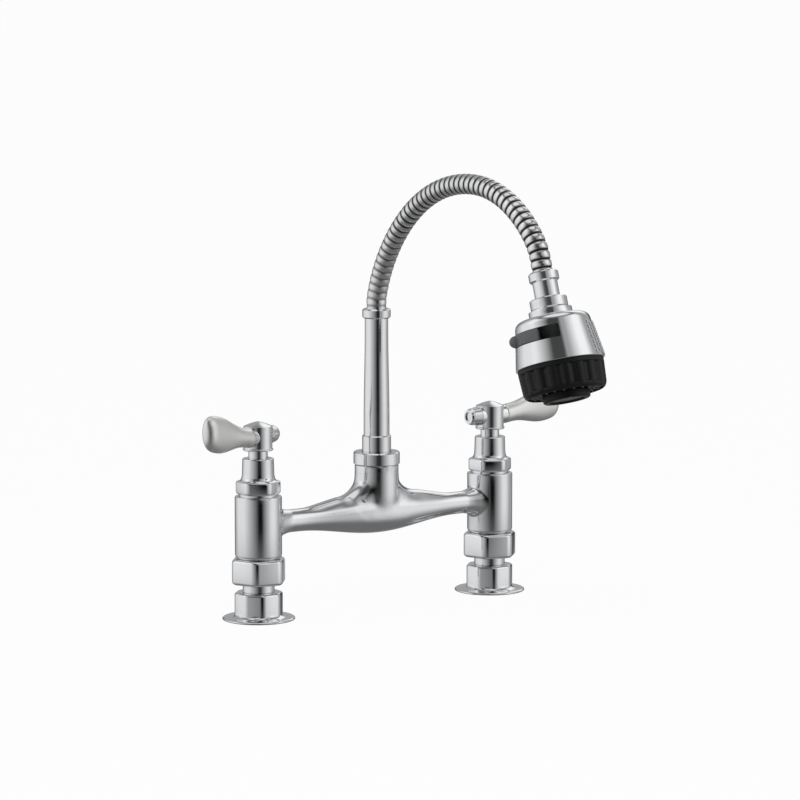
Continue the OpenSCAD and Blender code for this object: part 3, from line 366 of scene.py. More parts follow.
soft_silicone, tree, shader = new_finish("grey_silicone_nozzles", "#6C6E70", 0.0, 0.55)
clouded(tree, shader, 3, "#626466", "#77797B", 0.5, 0.62)
print("plastics:", black_abs.name, slide_abs.name, white_acetal.name, grey_acetal.name)

# %% [markdown]
# Inside are a brass hose barb, a pair of lapped ceramic discs in each valve, black rubber seals
# and steel screws. They are hidden when the faucet is together, and show when it is taken apart.
# The aerator at the outlet has the screws' steel.

# %% Inner materials
turned_brass, tree, shader = new_finish("turned_yellow_brass", "#C9A653", 1.0, 0.28)
clouded(tree, shader, 6, "#BD9A49", "#D3B163", 0.22, 0.36)

lapped_ceramic, tree, shader = new_finish("lapped_alumina_ceramic", "#ECEAE4", 0.0, 0.22)
clouded(tree, shader, 4, "#E4E2DC", "#F1EFEA", 0.16, 0.30)

seal_rubber, tree, shader = new_finish("black_nitrile_rubber", "#1B1B1C", 0.0, 0.68)
place = clouded(tree, shader, 4, "#161617", "#222223", 0.62, 0.75)
bumped(tree, shader, place, 0.5, 0.03, strength=0.4)

screw_steel, tree, shader = new_finish("cold_headed_stainless", "#A9ABAD", 1.0, 0.30)
clouded(tree, shader, 3, "#9C9EA0", "#B5B7B9", 0.24, 0.38)
print("materials:", len(bpy.data.materials))

# %% [markdown]
# A CAD piece whose shape is right keeps its mesh and only gets its finish. The list says which
# finish each kind of piece has; the rest of its name is just left, right, upper or lower.

# %% Paint the CAD pieces
FINISHES = [
    (turned_chrome, ["deck_flange", "tailpiece", "coupling_nut", "bonnet", "swivel_nut",
                     "handle_hub", "hub_cap", "lever_nub", "spout_ferrule", "riser_tube",
                     "riser_top_ring", "hose_end_fitting", "head_swivel_nut", "bell_shell",
                     "stem"]),
    (cast_chrome, ["bridge_body"]),
    (pearl_satin, ["lever"]),
    (strip_steel, ["gooseneck_hose"]),
    (black_abs, ["grip_ring", "spray_plate", "outlet_boss"]),
    (slide_abs, ["diverter_slide"]),
    (white_acetal, ["thrust_washer", "diverter_disc", "hose_liner"]),
    (grey_acetal, ["cartridge_shell", "spray_manifold"]),
    (soft_silicone, ["nozzle_mat"]),
    (turned_brass, ["hose_barb"]),
    (lapped_ceramic, ["fixed_disc", "moving_disc"]),
    (seal_rubber, ["union_washer", "seat_seal", "stem_ring", "spout_ring", "head_seal"]),
    (screw_steel, ["handle_screw", "aerator"]),
]


def family(node_name):
    """A node's name without its side"""
    for ending in ("_left", "_right", "_lower", "_upper"):
        node_name = node_name.removesuffix(ending)
    return node_name


finish_of = {name: material for material, names in FINISHES for name in names}
for name, cad_object in nodes.items():
    for slot in cad_object.material_slots:
        slot.material = finish_of[family(name)]
print("painted:", len(nodes))

# %% [markdown]
# ## Modelling helpers
# Most of a faucet is turned on a lathe. In Blender the same shape comes from a disc: it is
# extruded upwards again and again, and each time the new edge is scaled to the next radius.
# Loading leaves every CAD piece selected, so each helper first deselects everything.

# %% Helpers for selecting, turning, copying, placing, painting and cutting
def select_only(*objects):
    """Leave edit mode and select just these objects, the first one active"""
    if bpy.context.object and bpy.context.object.mode != "OBJECT":
        bpy.ops.object.mode_set(mode="OBJECT")
    bpy.ops.object.select_all(action="DESELECT")
    for item in objects:
        item.select_set(True)
    if objects:
        bpy.context.view_layer.objects.active = objects[0]


def extrude_by(x, y, z):
    """Extrude what is selected by a step in millimetres"""
    bpy.ops.mesh.extrude_region_move(TRANSFORM_OT_translate={"value": (x * MM, y * MM, z * MM)})


def resize_at(x_scale, y_scale, centre):
    """Scale what is selected in X and Y about a centre in metres"""
    bpy.ops.transform.resize(value=(x_scale, y_scale, 1), center_override=centre)


def close_shape():
    """Point all faces outwards, leave edit mode and put the object's place into its mesh"""
    bpy.ops.mesh.select_all(action="SELECT")
    bpy.ops.mesh.normals_make_consistent(inside=False)
    bpy.ops.object.mode_set(mode="OBJECT")
    bpy.ops.object.transform_apply(location=True, rotation=True, scale=True)


def raise_disc(profile):
    """Extrude the disc in edit mode up the Z axis through (radius, height) pairs in millimetres"""
    radius, height = profile[0]
    for new_radius, new_height in profile[1:]:
        extrude_by(0, 0, new_height - height)
        ratio = new_radius / radius
        resize_at(ratio, ratio, (0, 0, new_height * MM))
        radius, height = new_radius, new_height
    close_shape()


def start_disc(name, radius, height, sides, turn_degrees=0.0):
    """A disc with all of it selected in edit mode"""
    select_only()
    bpy.ops.mesh.primitive_circle_add(
        vertices=sides, radius=radius * MM, fill_type="NGON", location=(0, 0, height * MM),
        rotation=(0, 0, math.radians(turn_degrees)))
    bpy.context.object.name = name
    bpy.ops.object.mode_set(mode="EDIT")
    return bpy.context.object


def turned(name, profile, sides=96):
    """A round solid through (radius, height) pairs in millimetres"""
    piece = start_disc(name, *profile[0], sides)
    raise_disc(profile)
    return piece


def apply_modifier(piece, kind, **settings):
    """Add a modifier with its settings and apply it at once"""
    select_only(piece)
    modifier = piece.modifiers.new(kind.lower(), kind)
    for name, value in settings.items():
        setattr(modifier, name, value)
    bpy.ops.object.modifier_apply(modifier=modifier.name)


def copy_of(piece):
    """A copy of a piece, with a mesh of its own"""
    copy = piece.copy()
    copy.data = piece.data.copy()
    bpy.context.collection.objects.link(copy)
    return copy


def place_piece(piece, matrix):
    """Move a piece's mesh and leave its object at the origin"""
    select_only(piece)
    piece.matrix_world = matrix
    bpy.ops.object.transform_apply(location=True, rotation=True, scale=True)


def finish_piece(piece, material, body, replaces=(), smooth_angle=35):
    """Shade, paint and hang a piece on its body"""
    select_only(piece)
    bpy.ops.object.shade_smooth_by_angle(angle=math.radians(smooth_angle))
    piece.data.materials.clear()
    piece.data.materials.append(material)
    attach(piece, body)
    if replaces:
        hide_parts(*replaces)
    print(piece.name, "faces:", len(piece.data.polygons))


def cut_away(piece, cutter):
    """Subtract a cutter and throw it away"""
    apply_modifier(piece, "BOOLEAN", operation="DIFFERENCE", object=cutter, solver="EXACT")
    bpy.data.objects.remove(cutter)


def join_to(piece, other):
    """Merge another closed shape into a piece"""
    apply_modifier(piece, "BOOLEAN", operation="UNION", object=other, solver="EXACT")
    bpy.data.objects.remove(other)


# %% [markdown]
# ## The gooseneck
# A flexible spout is a steel strip wound into interlocking ridges over a plastic tube. It is a
# chain of equal ribs, so one rib is modelled lying along X, an Array modifier repeats it, and a
# Curve modifier bends the chain along the hose's path. Both ends go into their rings.

# %% The hose's path
hose_d = 14.2
hose_foot = Vector((0, 0, 210.7))
head_lean = math.radians(18)
head_point = Vector((0, -194.5, 250.5))
head_down = Vector((0, -math.sin(head_lean), -math.cos(head_lean)))
hose_tilt = math.radians(12)
hose_tip = head_point - head_down * 0.05
apex = Vector((0, -112.8, 308.5))
bend_start = hose_foot + Vector((0, 0, hose_d * 0.7))
bend_end = hose_tip - head_down * hose_d
path_points = [
    # place, handle before it, handle after it
    (hose_foot, hose_foot, hose_foot.lerp(bend_start, 1 / 3)),
    (bend_start, bend_start.lerp(hose_foot, 1 / 3),
     bend_start + 39 * Vector((0, -math.sin(hose_tilt), math.cos(hose_tilt)))),
    (apex, apex + Vector((0, 64, 0)), apex - Vector((0, 45, 0))),
    (bend_end, bend_end - head_down * 13.5, bend_end.lerp(hose_tip, 1 / 3)),
    (hose_tip, hose_tip.lerp(bend_end, 1 / 3), hose_tip),
]

select_only()
bpy.ops.curve.primitive_bezier_curve_add(location=(0, 0, 0))
path = bpy.context.object
path.name = "hose_path"
path.data.dimensions = "3D"
path.data.resolution_u = 48
path.data.twist_mode = "MINIMUM"
spline = path.data.splines[0]
spline.bezier_points.add(len(path_points) - len(spline.bezier_points))
for point, (place, before, after) in zip(spline.bezier_points, path_points):
    point.handle_left_type = "FREE"
    point.handle_right_type = "FREE"
    point.co = place * MM
    point.handle_left = before * MM
    point.handle_right = after * MM
hose_length = spline.calc_length() / MM
print("hose length: %.2f mm" % hose_length)

# %% [markdown]
# One rib is a ridge with rounded shoulders and half a groove at each end. The groove number for
# the material's painted shade is written while the chain is still straight, where a ring's radius
# says how deep it lies. The ribs are closed and shallow at the upright foot, and the bend opens
# them, so the same loop lifts the grooves near the foot and paints less shade into them there.

# %% One rib, repeated and bent along the path
hose_ribs = 48
rib_pitch = hose_length / hose_ribs
rib_depth = 0.7
closed_share = 0.35   # the part of its depth that a groove has at the foot
opening_length = 80   # the grooves get deeper and deeper up to here
# painted shade in the grooves: it starts at the first depth below and is full over the second
painted_shade_from = 0.08   # a groove's dull colour starts at this depth and is full over the next stretch
painted_shade_over = 0.4
hose_wall = 0.8
rib_profile = [
    # part of the pitch, and depth below the ridge
    (0.00, rib_depth), (0.05, 0.66), (0.09, 0.50), (0.14, 0.30), (0.21, 0.14), (0.33, 0.03),
    (0.50, 0.00), (0.67, 0.03), (0.79, 0.14), (0.86, 0.30), (0.91, 0.50), (0.95, 0.66),
    (1.00, rib_depth),
]
select_only()
bpy.ops.mesh.primitive_circle_add(
    vertices=40, radius=(hose_d / 2 - rib_depth) * MM, fill_type="NOTHING",
    location=(0, 0, 0), rotation=(0, math.pi / 2, 0))
hose = bpy.context.object
hose.name = "gooseneck_spiral"
bpy.ops.object.mode_set(mode="EDIT")
for (part_a, sunk_a), (part_b, sunk_b) in zip(rib_profile, rib_profile[1:]):
    extrude_by((part_b - part_a) * rib_pitch, 0, 0)
    ratio = (hose_d / 2 - sunk_b) / (hose_d / 2 - sunk_a)
    bpy.ops.transform.resize(
        value=(1, ratio, ratio), center_override=(part_b * rib_pitch * MM, 0, 0))
close_shape()
apply_modifier(
    hose, "ARRAY", count=hose_ribs, use_relative_offset=False, use_constant_offset=True,
    constant_offset_displace=(rib_pitch * MM, 0, 0), use_merge_vertices=True,
    merge_threshold=0.02 * MM)
# the groove number: how much painted shade each point's colour gets
groove_shade = hose.data.attributes.new("groove", "FLOAT", "POINT")
for vertex, value in zip(hose.data.vertices, groove_shade.data):
    depth_here = hose_d / 2 - math.hypot(vertex.co.y, vertex.co.z) / MM
    opened = min(1, vertex.co.x / MM / opening_length)
    open_share = closed_share + (1 - closed_share) * opened
    value.value = open_share * min(1, max(0, (depth_here - painted_shade_from) / painted_shade_over))
    closer = (hose_d / 2 - open_share * depth_here) / (hose_d / 2 - depth_here)
    vertex.co.y *= closer
    vertex.co.z *= closer
apply_modifier(hose, "CURVE", object=path, deform_axis="POS_X")
apply_modifier(hose, "SOLIDIFY", thickness=hose_wall * MM, offset=-1)
bpy.data.objects.remove(path)
finish_piece(hose, strip_steel, "spout", ["gooseneck_hose"], smooth_angle=50)
hose_heights = [vertex.co.z / MM for vertex in hose.data.vertices]
print("hose from %.1f to %.1f mm up" % (min(hose_heights), max(hose_heights)))

# %% [markdown]
# ## The lever paddles
# A paddle grows out of the hub as a round neck, flattens and widens like a pear, and ends blunt.
# It is modelled standing up as a coarse cage of eight-sided rings, which a Subdivision Surface
# modifier rounds. Its sizes along the length follow the two curves of the CAD lever, with a
# blunter end.

# %% The paddle's outline
post_x = 101.6
lever_z = 129.8
lever_from = 12.0
lever_reach = 63.0
lever_neck = 14.4
lever_tall = 27.6
lever_thick = 12.4
lever_tilt = math.radians(10)
lever_waist = lever_from + 8      # it starts to widen here
lever_widest = lever_reach - 15
flattening = 25                   # length over which the round neck gets thinner


def ease(t):
    """A smooth step from 0 to 1"""
    t = min(max(t, 0), 1)
    return t * t * (3 - 2 * t)


def half_height(x):
    """Half height of the paddle at a distance from the stem"""
    grow = ease((x - lever_waist) / (lever_widest - lever_waist))
    full = lever_neck / 2 + (lever_tall - lever_neck) / 2 * grow
    past = max(0, (x - lever_widest) / (lever_reach - lever_widest))
    return full * max(0, 1 - past ** 4) ** (1 / 3)


def half_thickness(x):
    """Half thickness of the paddle at a distance from the stem"""
    thinner = ease((x - lever_from) / flattening)
    full = lever_neck / 2 + (lever_thick - lever_neck) / 2 * thinner
    past = max(0, (x - lever_reach + lever_thick / 2) / (lever_thick / 2))
    return full * math.sqrt(max(0, 1 - past * past))


print("widest: %.1f mm" % (2 * half_height(lever_widest)))

# %% Build one paddle and copy it to the other handle
CAGE_GROWTH = 1.045   # the subdivided surface lies this much inside its cage
NECK_EXTRA = 0.04     # and a little more at the small neck
neck_length = 18
stud_r = 3.45
stud_length = 5.0

paddle = start_disc(
    "lever_paddle_left", (1 + NECK_EXTRA) * stud_r, lever_from - stud_length, 8, 22.5)
extrude_by(0, 0, stud_length)
neck_r = lever_neck / 2
extrude_by(0, 0, 0)
resize_at(neck_r / stud_r, neck_r / stud_r, (0, 0, lever_from * MM))
cage_rings = [
    lever_from + 0.6, lever_from + 4, 21, 27, 33, 39, 44.5, 49, 53, 56.5, 59.5, 61.6, 62.7]
# what the ring before this one has: place along the lever, lift, half thickness and half height
last_x, last_lift = lever_from, 0.0
last_thin = last_tall = neck_r * (1 + NECK_EXTRA)
for x in cage_rings:
    growth = CAGE_GROWTH * (1 + NECK_EXTRA * max(0, 1 - (x - lever_from) / neck_length))
    thin, tall = half_thickness(x) * growth, half_height(x) * growth
    lift = (x - lever_from) * math.tan(lever_tilt)
    extrude_by(0, lift - last_lift, x - last_x)
    resize_at(thin / last_thin, tall / last_tall, (0, lift * MM, x * MM))
    last_x, last_lift, last_thin, last_tall = x, lift, thin, tall
close_shape()
apply_modifier(paddle, "SUBSURF", levels=3, render_levels=3)

lay_down = Matrix(((0, 0, 1, 0), (1, 0, 0, 0), (0, 1, 0, 0), (0, 0, 0, 1)))
right_paddle = copy_of(paddle)
right_paddle.name = "lever_paddle_right"
neck = Matrix.Translation((lever_from * MM, 0, 0))
# the right lever's lower edge lies lower in the photograph, so it droops two degrees more
for piece, side, turn_degrees, droop in ((paddle, "left", 202, 0), (right_paddle, "right", 0, 2)):
    sign = -1 if side == "left" else 1
    stand = Matrix.Translation(Vector((sign * post_x, 0, lever_z)) * MM)
    sag = neck @ Matrix.Rotation(math.radians(droop), 4, "Y") @ neck.inverted()
    place_piece(piece, stand @ Matrix.Rotation(math.radians(turn_degrees), 4, "Z") @ sag @ lay_down)
    finish_piece(piece, pearl_satin, "handle_" + side, ["lever_" + side], smooth_angle=60)

# %% [markdown]
# ## The bridge casting
# The two valve barrels, the arms and the spout socket are one brass casting, ground until its parts
# flow into each other. The arms open like trumpets towards the barrels. Arms and socket are
# modelled roughly from turned and extruded solids, merged by a voxel remesh, and smoothed where
# they meet, which rounds the inner corners as grinding does. The barrels and the socket's rim are
# cut on a lathe in the factory, so they are added crisp.

# %% Arms, elbows and socket, remeshed into one
arm_z = 67.5
arm_r = 8.1
belly_r = 15.0
belly_fade = 70
barrel_r = 16.6


def arm_radius(x):
    """Radius of the arms at a distance from the spout's axis"""
    return arm_r + (belly_r - arm_r) * (0.5 + 0.5 * math.cos(math.pi * min(x / belly_fade, 1)))


shrink_area = 4.6


def before_smoothing(radius):
    """Smoothing shrinks a tube, a thin one more; this is the radius that ends up as asked"""
    return radius + shrink_area / radius


trumpet_from = 76
trumpet_to = 93
trumpet_r = 13.9
trumpet_power = 1.5
half_arm = [(arm_radius(x), x) for x in range(trumpet_from)]
for x in range(trumpet_from, trumpet_to + 1):
    opened = (x - trumpet_from) / (trumpet_to - trumpet_from)
    half_arm.append((arm_r + (trumpet_r - arm_r) * opened ** trumpet_power, x))
whole_arm = [(radius, -x) for radius, x in reversed(half_arm[1:])] + half_arm
arms = turned("bridge_casting", whole_arm, sides=96)
along_x = Matrix.Translation((0, 0, arm_z * MM)) @ Matrix.Rotation(math.pi / 2, 4, "Y")
place_piece(arms, along_x)

socket_r = 15.75
socket_top = 102.0
rim_foot = 92
socket = turned("socket_core", [
    (socket_r - 1.2, arm_z - 4), (socket_r - 0.9, arm_z + 2),
    (before_smoothing(socket_r), arm_z + 12), (before_smoothing(socket_r), rim_foot),
    (socket_r - 0.05, socket_top - 3)])
join_to(arms, socket)
core_r = barrel_r - 0.12   # the crisp barrel goes over this core later
core_foot = 50
core_top = 85
core_chamfer = 3
for side in (-1, 1):
    core = turned("barrel_core", [
        (barrel_r - 0.6, core_foot), (core_r, core_foot + core_chamfer),
        (core_r, core_top - core_chamfer), (barrel_r - 0.6, core_top)])
    select_only(core)
    bpy.ops.object.mode_set(mode="EDIT")
    bpy.ops.mesh.select_all(action="SELECT")
    bpy.ops.mesh.bisect(
        plane_co=(-side * 2 * MM, 0, 0), plane_no=(side, 0, 0), clear_outer=True, use_fill=True)
    bpy.ops.object.mode_set(mode="OBJECT")
    place_piece(core, Matrix.Translation((side * post_x * MM, 0, 0)))
    join_to(arms, core)

saddle_r = 24   # the hollow between an arm and the socket
elbow_r = arm_radius(35) - 0.1
elbow_bend = saddle_r + elbow_r
elbow_lift = 1.6
elbow_steps = 48
fade_length = 30


def elbow_half_width(turned_share):
    """Half width of the elbow: the socket's at the top, inside the arm at the end"""
    wide, narrow = before_smoothing(socket_r), elbow_r - 1.6
    return wide + (narrow - wide) * ease(turned_share * 1.15)


for side in (-1, 1):
    bend_centre = Vector((side * elbow_bend, 0, arm_z + elbow_lift + elbow_bend))
    elbow = start_disc("elbow_core", before_smoothing(elbow_r), bend_centre.z, 96)
    centre = Vector((0, 0, bend_centre.z))
    half_width = elbow_half_width(0)
    resize_at(1, half_width / before_smoothing(elbow_r), centre * MM)
    step_angle = math.pi / 2 / elbow_steps
    for step in range(1, elbow_steps + 1):
        angle = step * step_angle
        outward = Vector((-side * math.cos(angle), 0, -math.sin(angle)))
        new_centre = bend_centre + elbow_bend * outward
        extrude_by(*(new_centre - centre))
        bpy.ops.transform.rotate(
            value=side * step_angle, orient_axis="Y", center_override=new_centre * MM)
        new_width = elbow_half_width(step / elbow_steps)
        resize_at(1, new_width / half_width, new_centre * MM)
        centre, half_width = new_centre, new_width
    fade_end = centre + Vector((side * fade_length, 0, -elbow_lift))
    extrude_by(*(fade_end - centre))
    bpy.ops.transform.resize(
        value=(1, (arm_r - 2) / half_width, (arm_r - 0.4) / before_smoothing(elbow_r)),
        center_override=fade_end * MM)
    close_shape()
    join_to(arms, elbow)
print("rough casting faces:", len(arms.data.polygons))

# %% Remesh and smooth the casting
apply_modifier(arms, "REMESH", mode="VOXEL", voxel_size=0.65 * MM, use_smooth_shade=True)
crease_r = 11.7      # how far from the arms' axis they meet the barrels
crease_share = 0.7   # the crease is smoothed less than the saddle
saddle_end = 66      # the saddle's blend ends here along the arms, and at this height
saddle_top = 99


def inside(limit, value, fade_over):
    """1 well inside a limit, and fading to 0 at it"""
    return ease((limit - value) / fade_over)


blend_zone = arms.vertex_groups.new(name="blend_zone")
for vertex in arms.data.vertices:
    x, z = abs(vertex.co.x) / MM, vertex.co.z / MM
    blend_foot = arm_z + 3 - 9 * ease((28 - x) / 12)
    near_socket = inside(saddle_end, x, 14) * inside(saddle_top, z, 5) * ease((z - blend_foot) / 6)
    off_barrel = abs(math.hypot(x - post_x, vertex.co.y / MM) - barrel_r)
    off_trumpet = abs(math.hypot(vertex.co.y / MM, z - arm_z) - crease_r)
    near_barrel = crease_share * inside(3.5, off_barrel, 2.5) * inside(5, off_trumpet, 3)
    blend_zone.add([vertex.index], max(near_socket, near_barrel), "REPLACE")
apply_modifier(arms, "SMOOTH", factor=0.5, iterations=100, vertex_group="blend_zone")
print("remeshed faces:", len(arms.data.polygons))

# %% Add the barrels and the socket's rim, and bore the waterways
union_r = 14.3
union_foot = 34.5
barrel_foot = 43.5
barrel_top = 87.8
water_r = 6
chamber_r = 11
chamber_floor = 55.5
thread_r = 12.5
thread_floor = 78.5
nose_r = 14.2
nose_top = 106
spigot_r = 9.56
spigot_floor = 84.5
barrel_profile = [
    (union_r, union_foot), (union_r, barrel_foot), (15.5, barrel_foot + 0.7), (16.1, barrel_foot + 1.4),
    (16.45, barrel_foot + 2.2), (barrel_r, barrel_foot + 3), (barrel_r, barrel_top - 1),
    (16.3, barrel_top - 0.3), (15.6, barrel_top),
]
bore_profile = [
    (water_r, union_foot - 0.5), (water_r, chamber_floor), (chamber_r, chamber_floor),
    (chamber_r, thread_floor), (thread_r, thread_floor), (thread_r, barrel_top + 0.7)]
rim = turned("socket_rim", [
    (socket_r - 1, rim_foot), (socket_r, rim_foot), (socket_r, socket_top - 0.8),
    (socket_r - 0.25, socket_top - 0.25), (socket_r - 0.8, socket_top), (nose_r, socket_top),
    (nose_r, nose_top)])
join_to(arms, rim)
for side in (-1, 1):
    over_post = Matrix.Translation((side * post_x * MM, 0, 0))
    barrel = turned("barrel", barrel_profile)
    place_piece(barrel, over_post)
    join_to(arms, barrel)
    bore = turned("barrel_bore", bore_profile, sides=64)
    place_piece(bore, over_post)
    cut_away(arms, bore)
waterway = turned("arm_waterway", [(4, -post_x), (4, post_x)], sides=32)
place_piece(waterway, along_x)
cut_away(arms, waterway)
cut_away(arms, turned("spout_bore", [
    (water_r, arm_z), (water_r, spigot_floor), (spigot_r, spigot_floor),
    (spigot_r, nose_top + 1)], sides=64))
arms.vertex_groups.clear()
finish_piece(arms, cast_chrome, "faucet_body", ["bridge_body"], smooth_angle=30)

# %% [markdown]
# ## Nuts and bases
# The coupling nuts, the bonnets' hexagons and the octagonal bases are cast or machined from bar
# and then tumbled and buffed, so no corner stays sharp. A polygon's corners are rounded with a
# vertex bevel while it is still flat. It is then raised like a turned part, a little narrower at
# both ends. Shaded smooth, the flats look slightly bulged, as buffed flats do.

# %% A prism with rounded corners
CIRCLE_START = 90   # a new circle has its first corner on Y, and turns are counted from X


def rounded_prism(name, sides, across_flats, corner, turn_degrees, levels):
    """Raise a polygon with rounded corners through (inset, height) pairs in millimetres"""
    corner_r = across_flats / 2 / math.cos(math.pi / sides)
    profile = [(corner_r - inset, height) for inset, height in levels]
    piece = start_disc(name, *profile[0], sides, turn_degrees - CIRCLE_START)
    bpy.ops.mesh.bevel(
        offset=corner * MM, offset_type="OFFSET", segments=5, affect="VERTICES", profile=0.5)
    bpy.ops.mesh.select_all(action="SELECT")
    raise_disc(profile)
    return piece


def pillow(bottom, top, edge, extra=()):
    """Levels of a prism from bottom to top with both ends rounded over, and extra full levels"""
    rise = [(edge * (1 - math.sin(math.radians(a))), edge * (1 - math.cos(math.radians(a))))
            for a in (0, 22.5, 45, 67.5, 90)]
    lower = [(inset, bottom + up) for inset, up in rise]
    upper = [(inset, top - up) for inset, up in reversed(rise)]
    return lower + [(0, height) for height in extra] + upper


# %% Coupling nuts, bases and bonnets at both posts
nut_z = 25.5
nut_h = 18.0
nut_af = 36.0
tail_d = 22.5
union_bore_r = 14.4
base_h = 19.5
base_af = 32.8
flange_r = 25.75
flange_rim = 1.8
bonnet_af = 28.8
hex_z = 89.2
hex_h = 9.4
cone_h = 5.2
bonnet_neck_r = 11.1
bonnet_top = 114.5
inlet_r = 9.3
inlet_depth = 12
tail_socket_r = 10.15
tail_socket_floor = 13.5
stem_hole_r = 6.91
skirt_hole_r = 9.5
skirt_roof = 94.3
NUT_TURNS = {-1: -130, 1: -137}
HEX_TURNS = {-1: -154, 1: -146}


def finish_on_post(piece, matrix, node_name):
    """Move a chrome piece to its post, and let it replace the CAD piece there"""
    place_piece(piece, matrix)
    finish_piece(piece, turned_chrome, "faucet_body", [node_name], smooth_angle=40)


for side, name in ((-1, "left"), (1, "right")):
    over_post = Matrix.Translation((side * post_x * MM, 0, 0))

    nut = rounded_prism("coupling_nut_buffed_" + name, 6, nut_af, 3.2, NUT_TURNS[side],
                        pillow(nut_z, nut_z + nut_h, 2.4))
    cut_away(nut, turned("nut_bore", [
        (tail_d / 2 + 0.1, nut_z - 1), (tail_d / 2 + 0.1, nut_z + 3), (union_bore_r, nut_z + 3),
        (union_bore_r, nut_z + nut_h + 1)], sides=64))
    finish_on_post(nut, over_post, "coupling_nut_" + name)

    base = rounded_prism("deck_base_" + name, 8, base_af, 2.4, 22.5,
                         pillow(1, base_h, 1.8, extra=(5.6,)))
    plate = turned("flange_plate", [
        (flange_r - 0.9, 0), (flange_r - 0.3, 0.2), (flange_r, 0.8), (flange_r - 0.2, 1.3),
        (flange_r - 0.9, flange_rim - 0.1), (flange_r - 2, flange_rim), (base_af / 2 + 3.6, 1.9),
        (base_af / 2 + 1.6, 2.5), (base_af / 2 + 0.4, 3.6), (base_af / 2 - 0.4, 5.2)])
    join_to(base, plate)
    cut_away(base, turned("inlet_bore", [
        (inlet_r, -1), (inlet_r, inlet_depth), (water_r, inlet_depth),
        (water_r, tail_socket_floor), (tail_socket_r, tail_socket_floor),
        (tail_socket_r, base_h + 1)], sides=64))
    finish_on_post(base, over_post, "deck_flange_" + name)

    bonnet = rounded_prism("bonnet_buffed_" + name, 6, bonnet_af, 2.6, HEX_TURNS[side],
                           pillow(hex_z, hex_z + hex_h, 1.8))
    cone_run = bonnet_af / 2 - 1.2 - bonnet_neck_r
    cone = [(bonnet_neck_r + 0.3 + cone_run * (1 - math.sin(t * math.pi / 2)),
             hex_z + hex_h + cone_h * (1 - math.cos(t * math.pi / 2)))
            for t in (0, 0.15, 0.3, 0.45, 0.6, 0.75, 0.9, 1)]
    screwed_in = [
        (thread_r - 0.1, thread_floor), (thread_r - 0.1, barrel_top), (13.6, barrel_top),
        (13.6, hex_z + 1), (bonnet_af / 2 - 1.0, hex_z + 2)]
    rim_round = [
        (bonnet_neck_r, bonnet_top - 1.4), (bonnet_neck_r, bonnet_top - 0.9),
        (bonnet_neck_r - 0.1, bonnet_top - 0.5), (bonnet_neck_r - 0.35, bonnet_top - 0.15),
        (bonnet_neck_r - 0.9, bonnet_top)]
    join_to(bonnet, turned("bonnet_neck", screwed_in + cone + rim_round))
    cut_away(bonnet, turned("bonnet_bore", [
        (skirt_hole_r, thread_floor - 0.5), (skirt_hole_r, skirt_roof), (stem_hole_r, skirt_roof),
        (stem_hole_r, bonnet_top + 1)], sides=64))
    finish_on_post(bonnet, over_post, "bonnet_" + name)

# %% [markdown]
# ## The spray head
# The bell is a spun or moulded shell with a bright plate, a window for the diverter and a field of
# small pads on one flank for wet fingers. Everything on the head is modelled upright with Z
# running down the head's axis, and then placed with one matrix that leans it forward.

# %% The head's frame and the bell
head_frame = Matrix.Translation(head_point * MM) @ Matrix.Rotation(math.pi - head_lean, 4, "X")
collar_s = 22.45
bell_top_s = 27.05
shoulder_s = 33.25
slide_s = 36.05
slide_h = 9.0
mouth_s = 60.25
collar_r = 14.75
shoulder_r = 25.7
mouth_r = 30.3
shoulder_round = 5.4
bell_wall = 2.0
neck_hole_r = 10.6


def flank_r(s):
    """The bell's outer radius at a distance down the head"""
    return shoulder_r + (mouth_r - shoulder_r) * (s - shoulder_s) / (mouth_s - shoulder_s)


def shoulder_arc(inset):
    """The rounded shoulder as (radius, distance down the head) pairs"""
    middle_r = shoulder_r - shoulder_round
    return [(middle_r + (shoulder_round - inset) * math.cos(math.radians(a)),
             shoulder_s + (shoulder_round - inset) * math.sin(math.radians(a)))
            for a in range(-86, -5, 10)]


def sector(name, corners, from_degrees, span_degrees, steps):
    """Spin a flat outline of (radius, distance down) corners part of the way round the axis"""
    select_only()
    (inner_r, low_s), (outer_r, high_s) = corners
    bpy.ops.mesh.primitive_plane_add(size=1, location=(0, 0, 0), rotation=(math.pi / 2, 0, 0))
    piece = bpy.context.object
    piece.name = name
    turn = Matrix.Rotation(math.radians(from_degrees), 4, "Z")
    middle = Vector(((inner_r + outer_r) / 2, 0, (low_s + high_s) / 2))
    upright = Matrix.Rotation(math.pi / 2, 4, "X")
    size = Matrix.Diagonal(((outer_r - inner_r) * MM, (high_s - low_s) * MM, 1, 1))
    piece.matrix_world = turn @ Matrix.Translation(middle * MM) @ upright @ size
    bpy.ops.object.transform_apply(location=True, rotation=True, scale=True)
    bpy.ops.object.mode_set(mode="EDIT")
    bpy.ops.mesh.select_all(action="SELECT")
    bpy.ops.mesh.spin(
        steps=steps, angle=-math.radians(span_degrees), use_auto_merge=False,
        center=(0, 0, 0), axis=(0, 0, 1))
    bpy.ops.mesh.select_all(action="SELECT")
    bpy.ops.mesh.remove_doubles(threshold=0.001 * MM)
    close_shape()
    return piece


# rings just above and below the window keep the flank's shading straight there
FLANK_RINGS = (34.4, slide_s - 0.4, slide_s + slide_h + 0.4, 50, 55, mouth_s - 0.4)
bell = turned("bell_plated", [
    (collar_r - 0.5, collar_s), (collar_r - 0.15, collar_s + 0.15), (collar_r, collar_s + 0.5),
    (collar_r, bell_top_s - 0.3), (collar_r + 0.3, bell_top_s + 0.05),
] + shoulder_arc(0) + [(flank_r(s), s) for s in FLANK_RINGS] + [
    (mouth_r - 0.4, mouth_s)], sides=160)
cut_away(bell, turned("bell_hollow", [
    (15.0, bell_top_s + bell_wall)] + shoulder_arc(bell_wall) + [
    (mouth_r - bell_wall, mouth_s), (mouth_r - bell_wall, mouth_s + 1)], sides=96))
cut_away(bell, turned("neck_hole", [
    (neck_hole_r, collar_s - 1), (neck_hole_r, bell_top_s + bell_wall + 1)], sides=64))
window_from = 120
window_span = 96
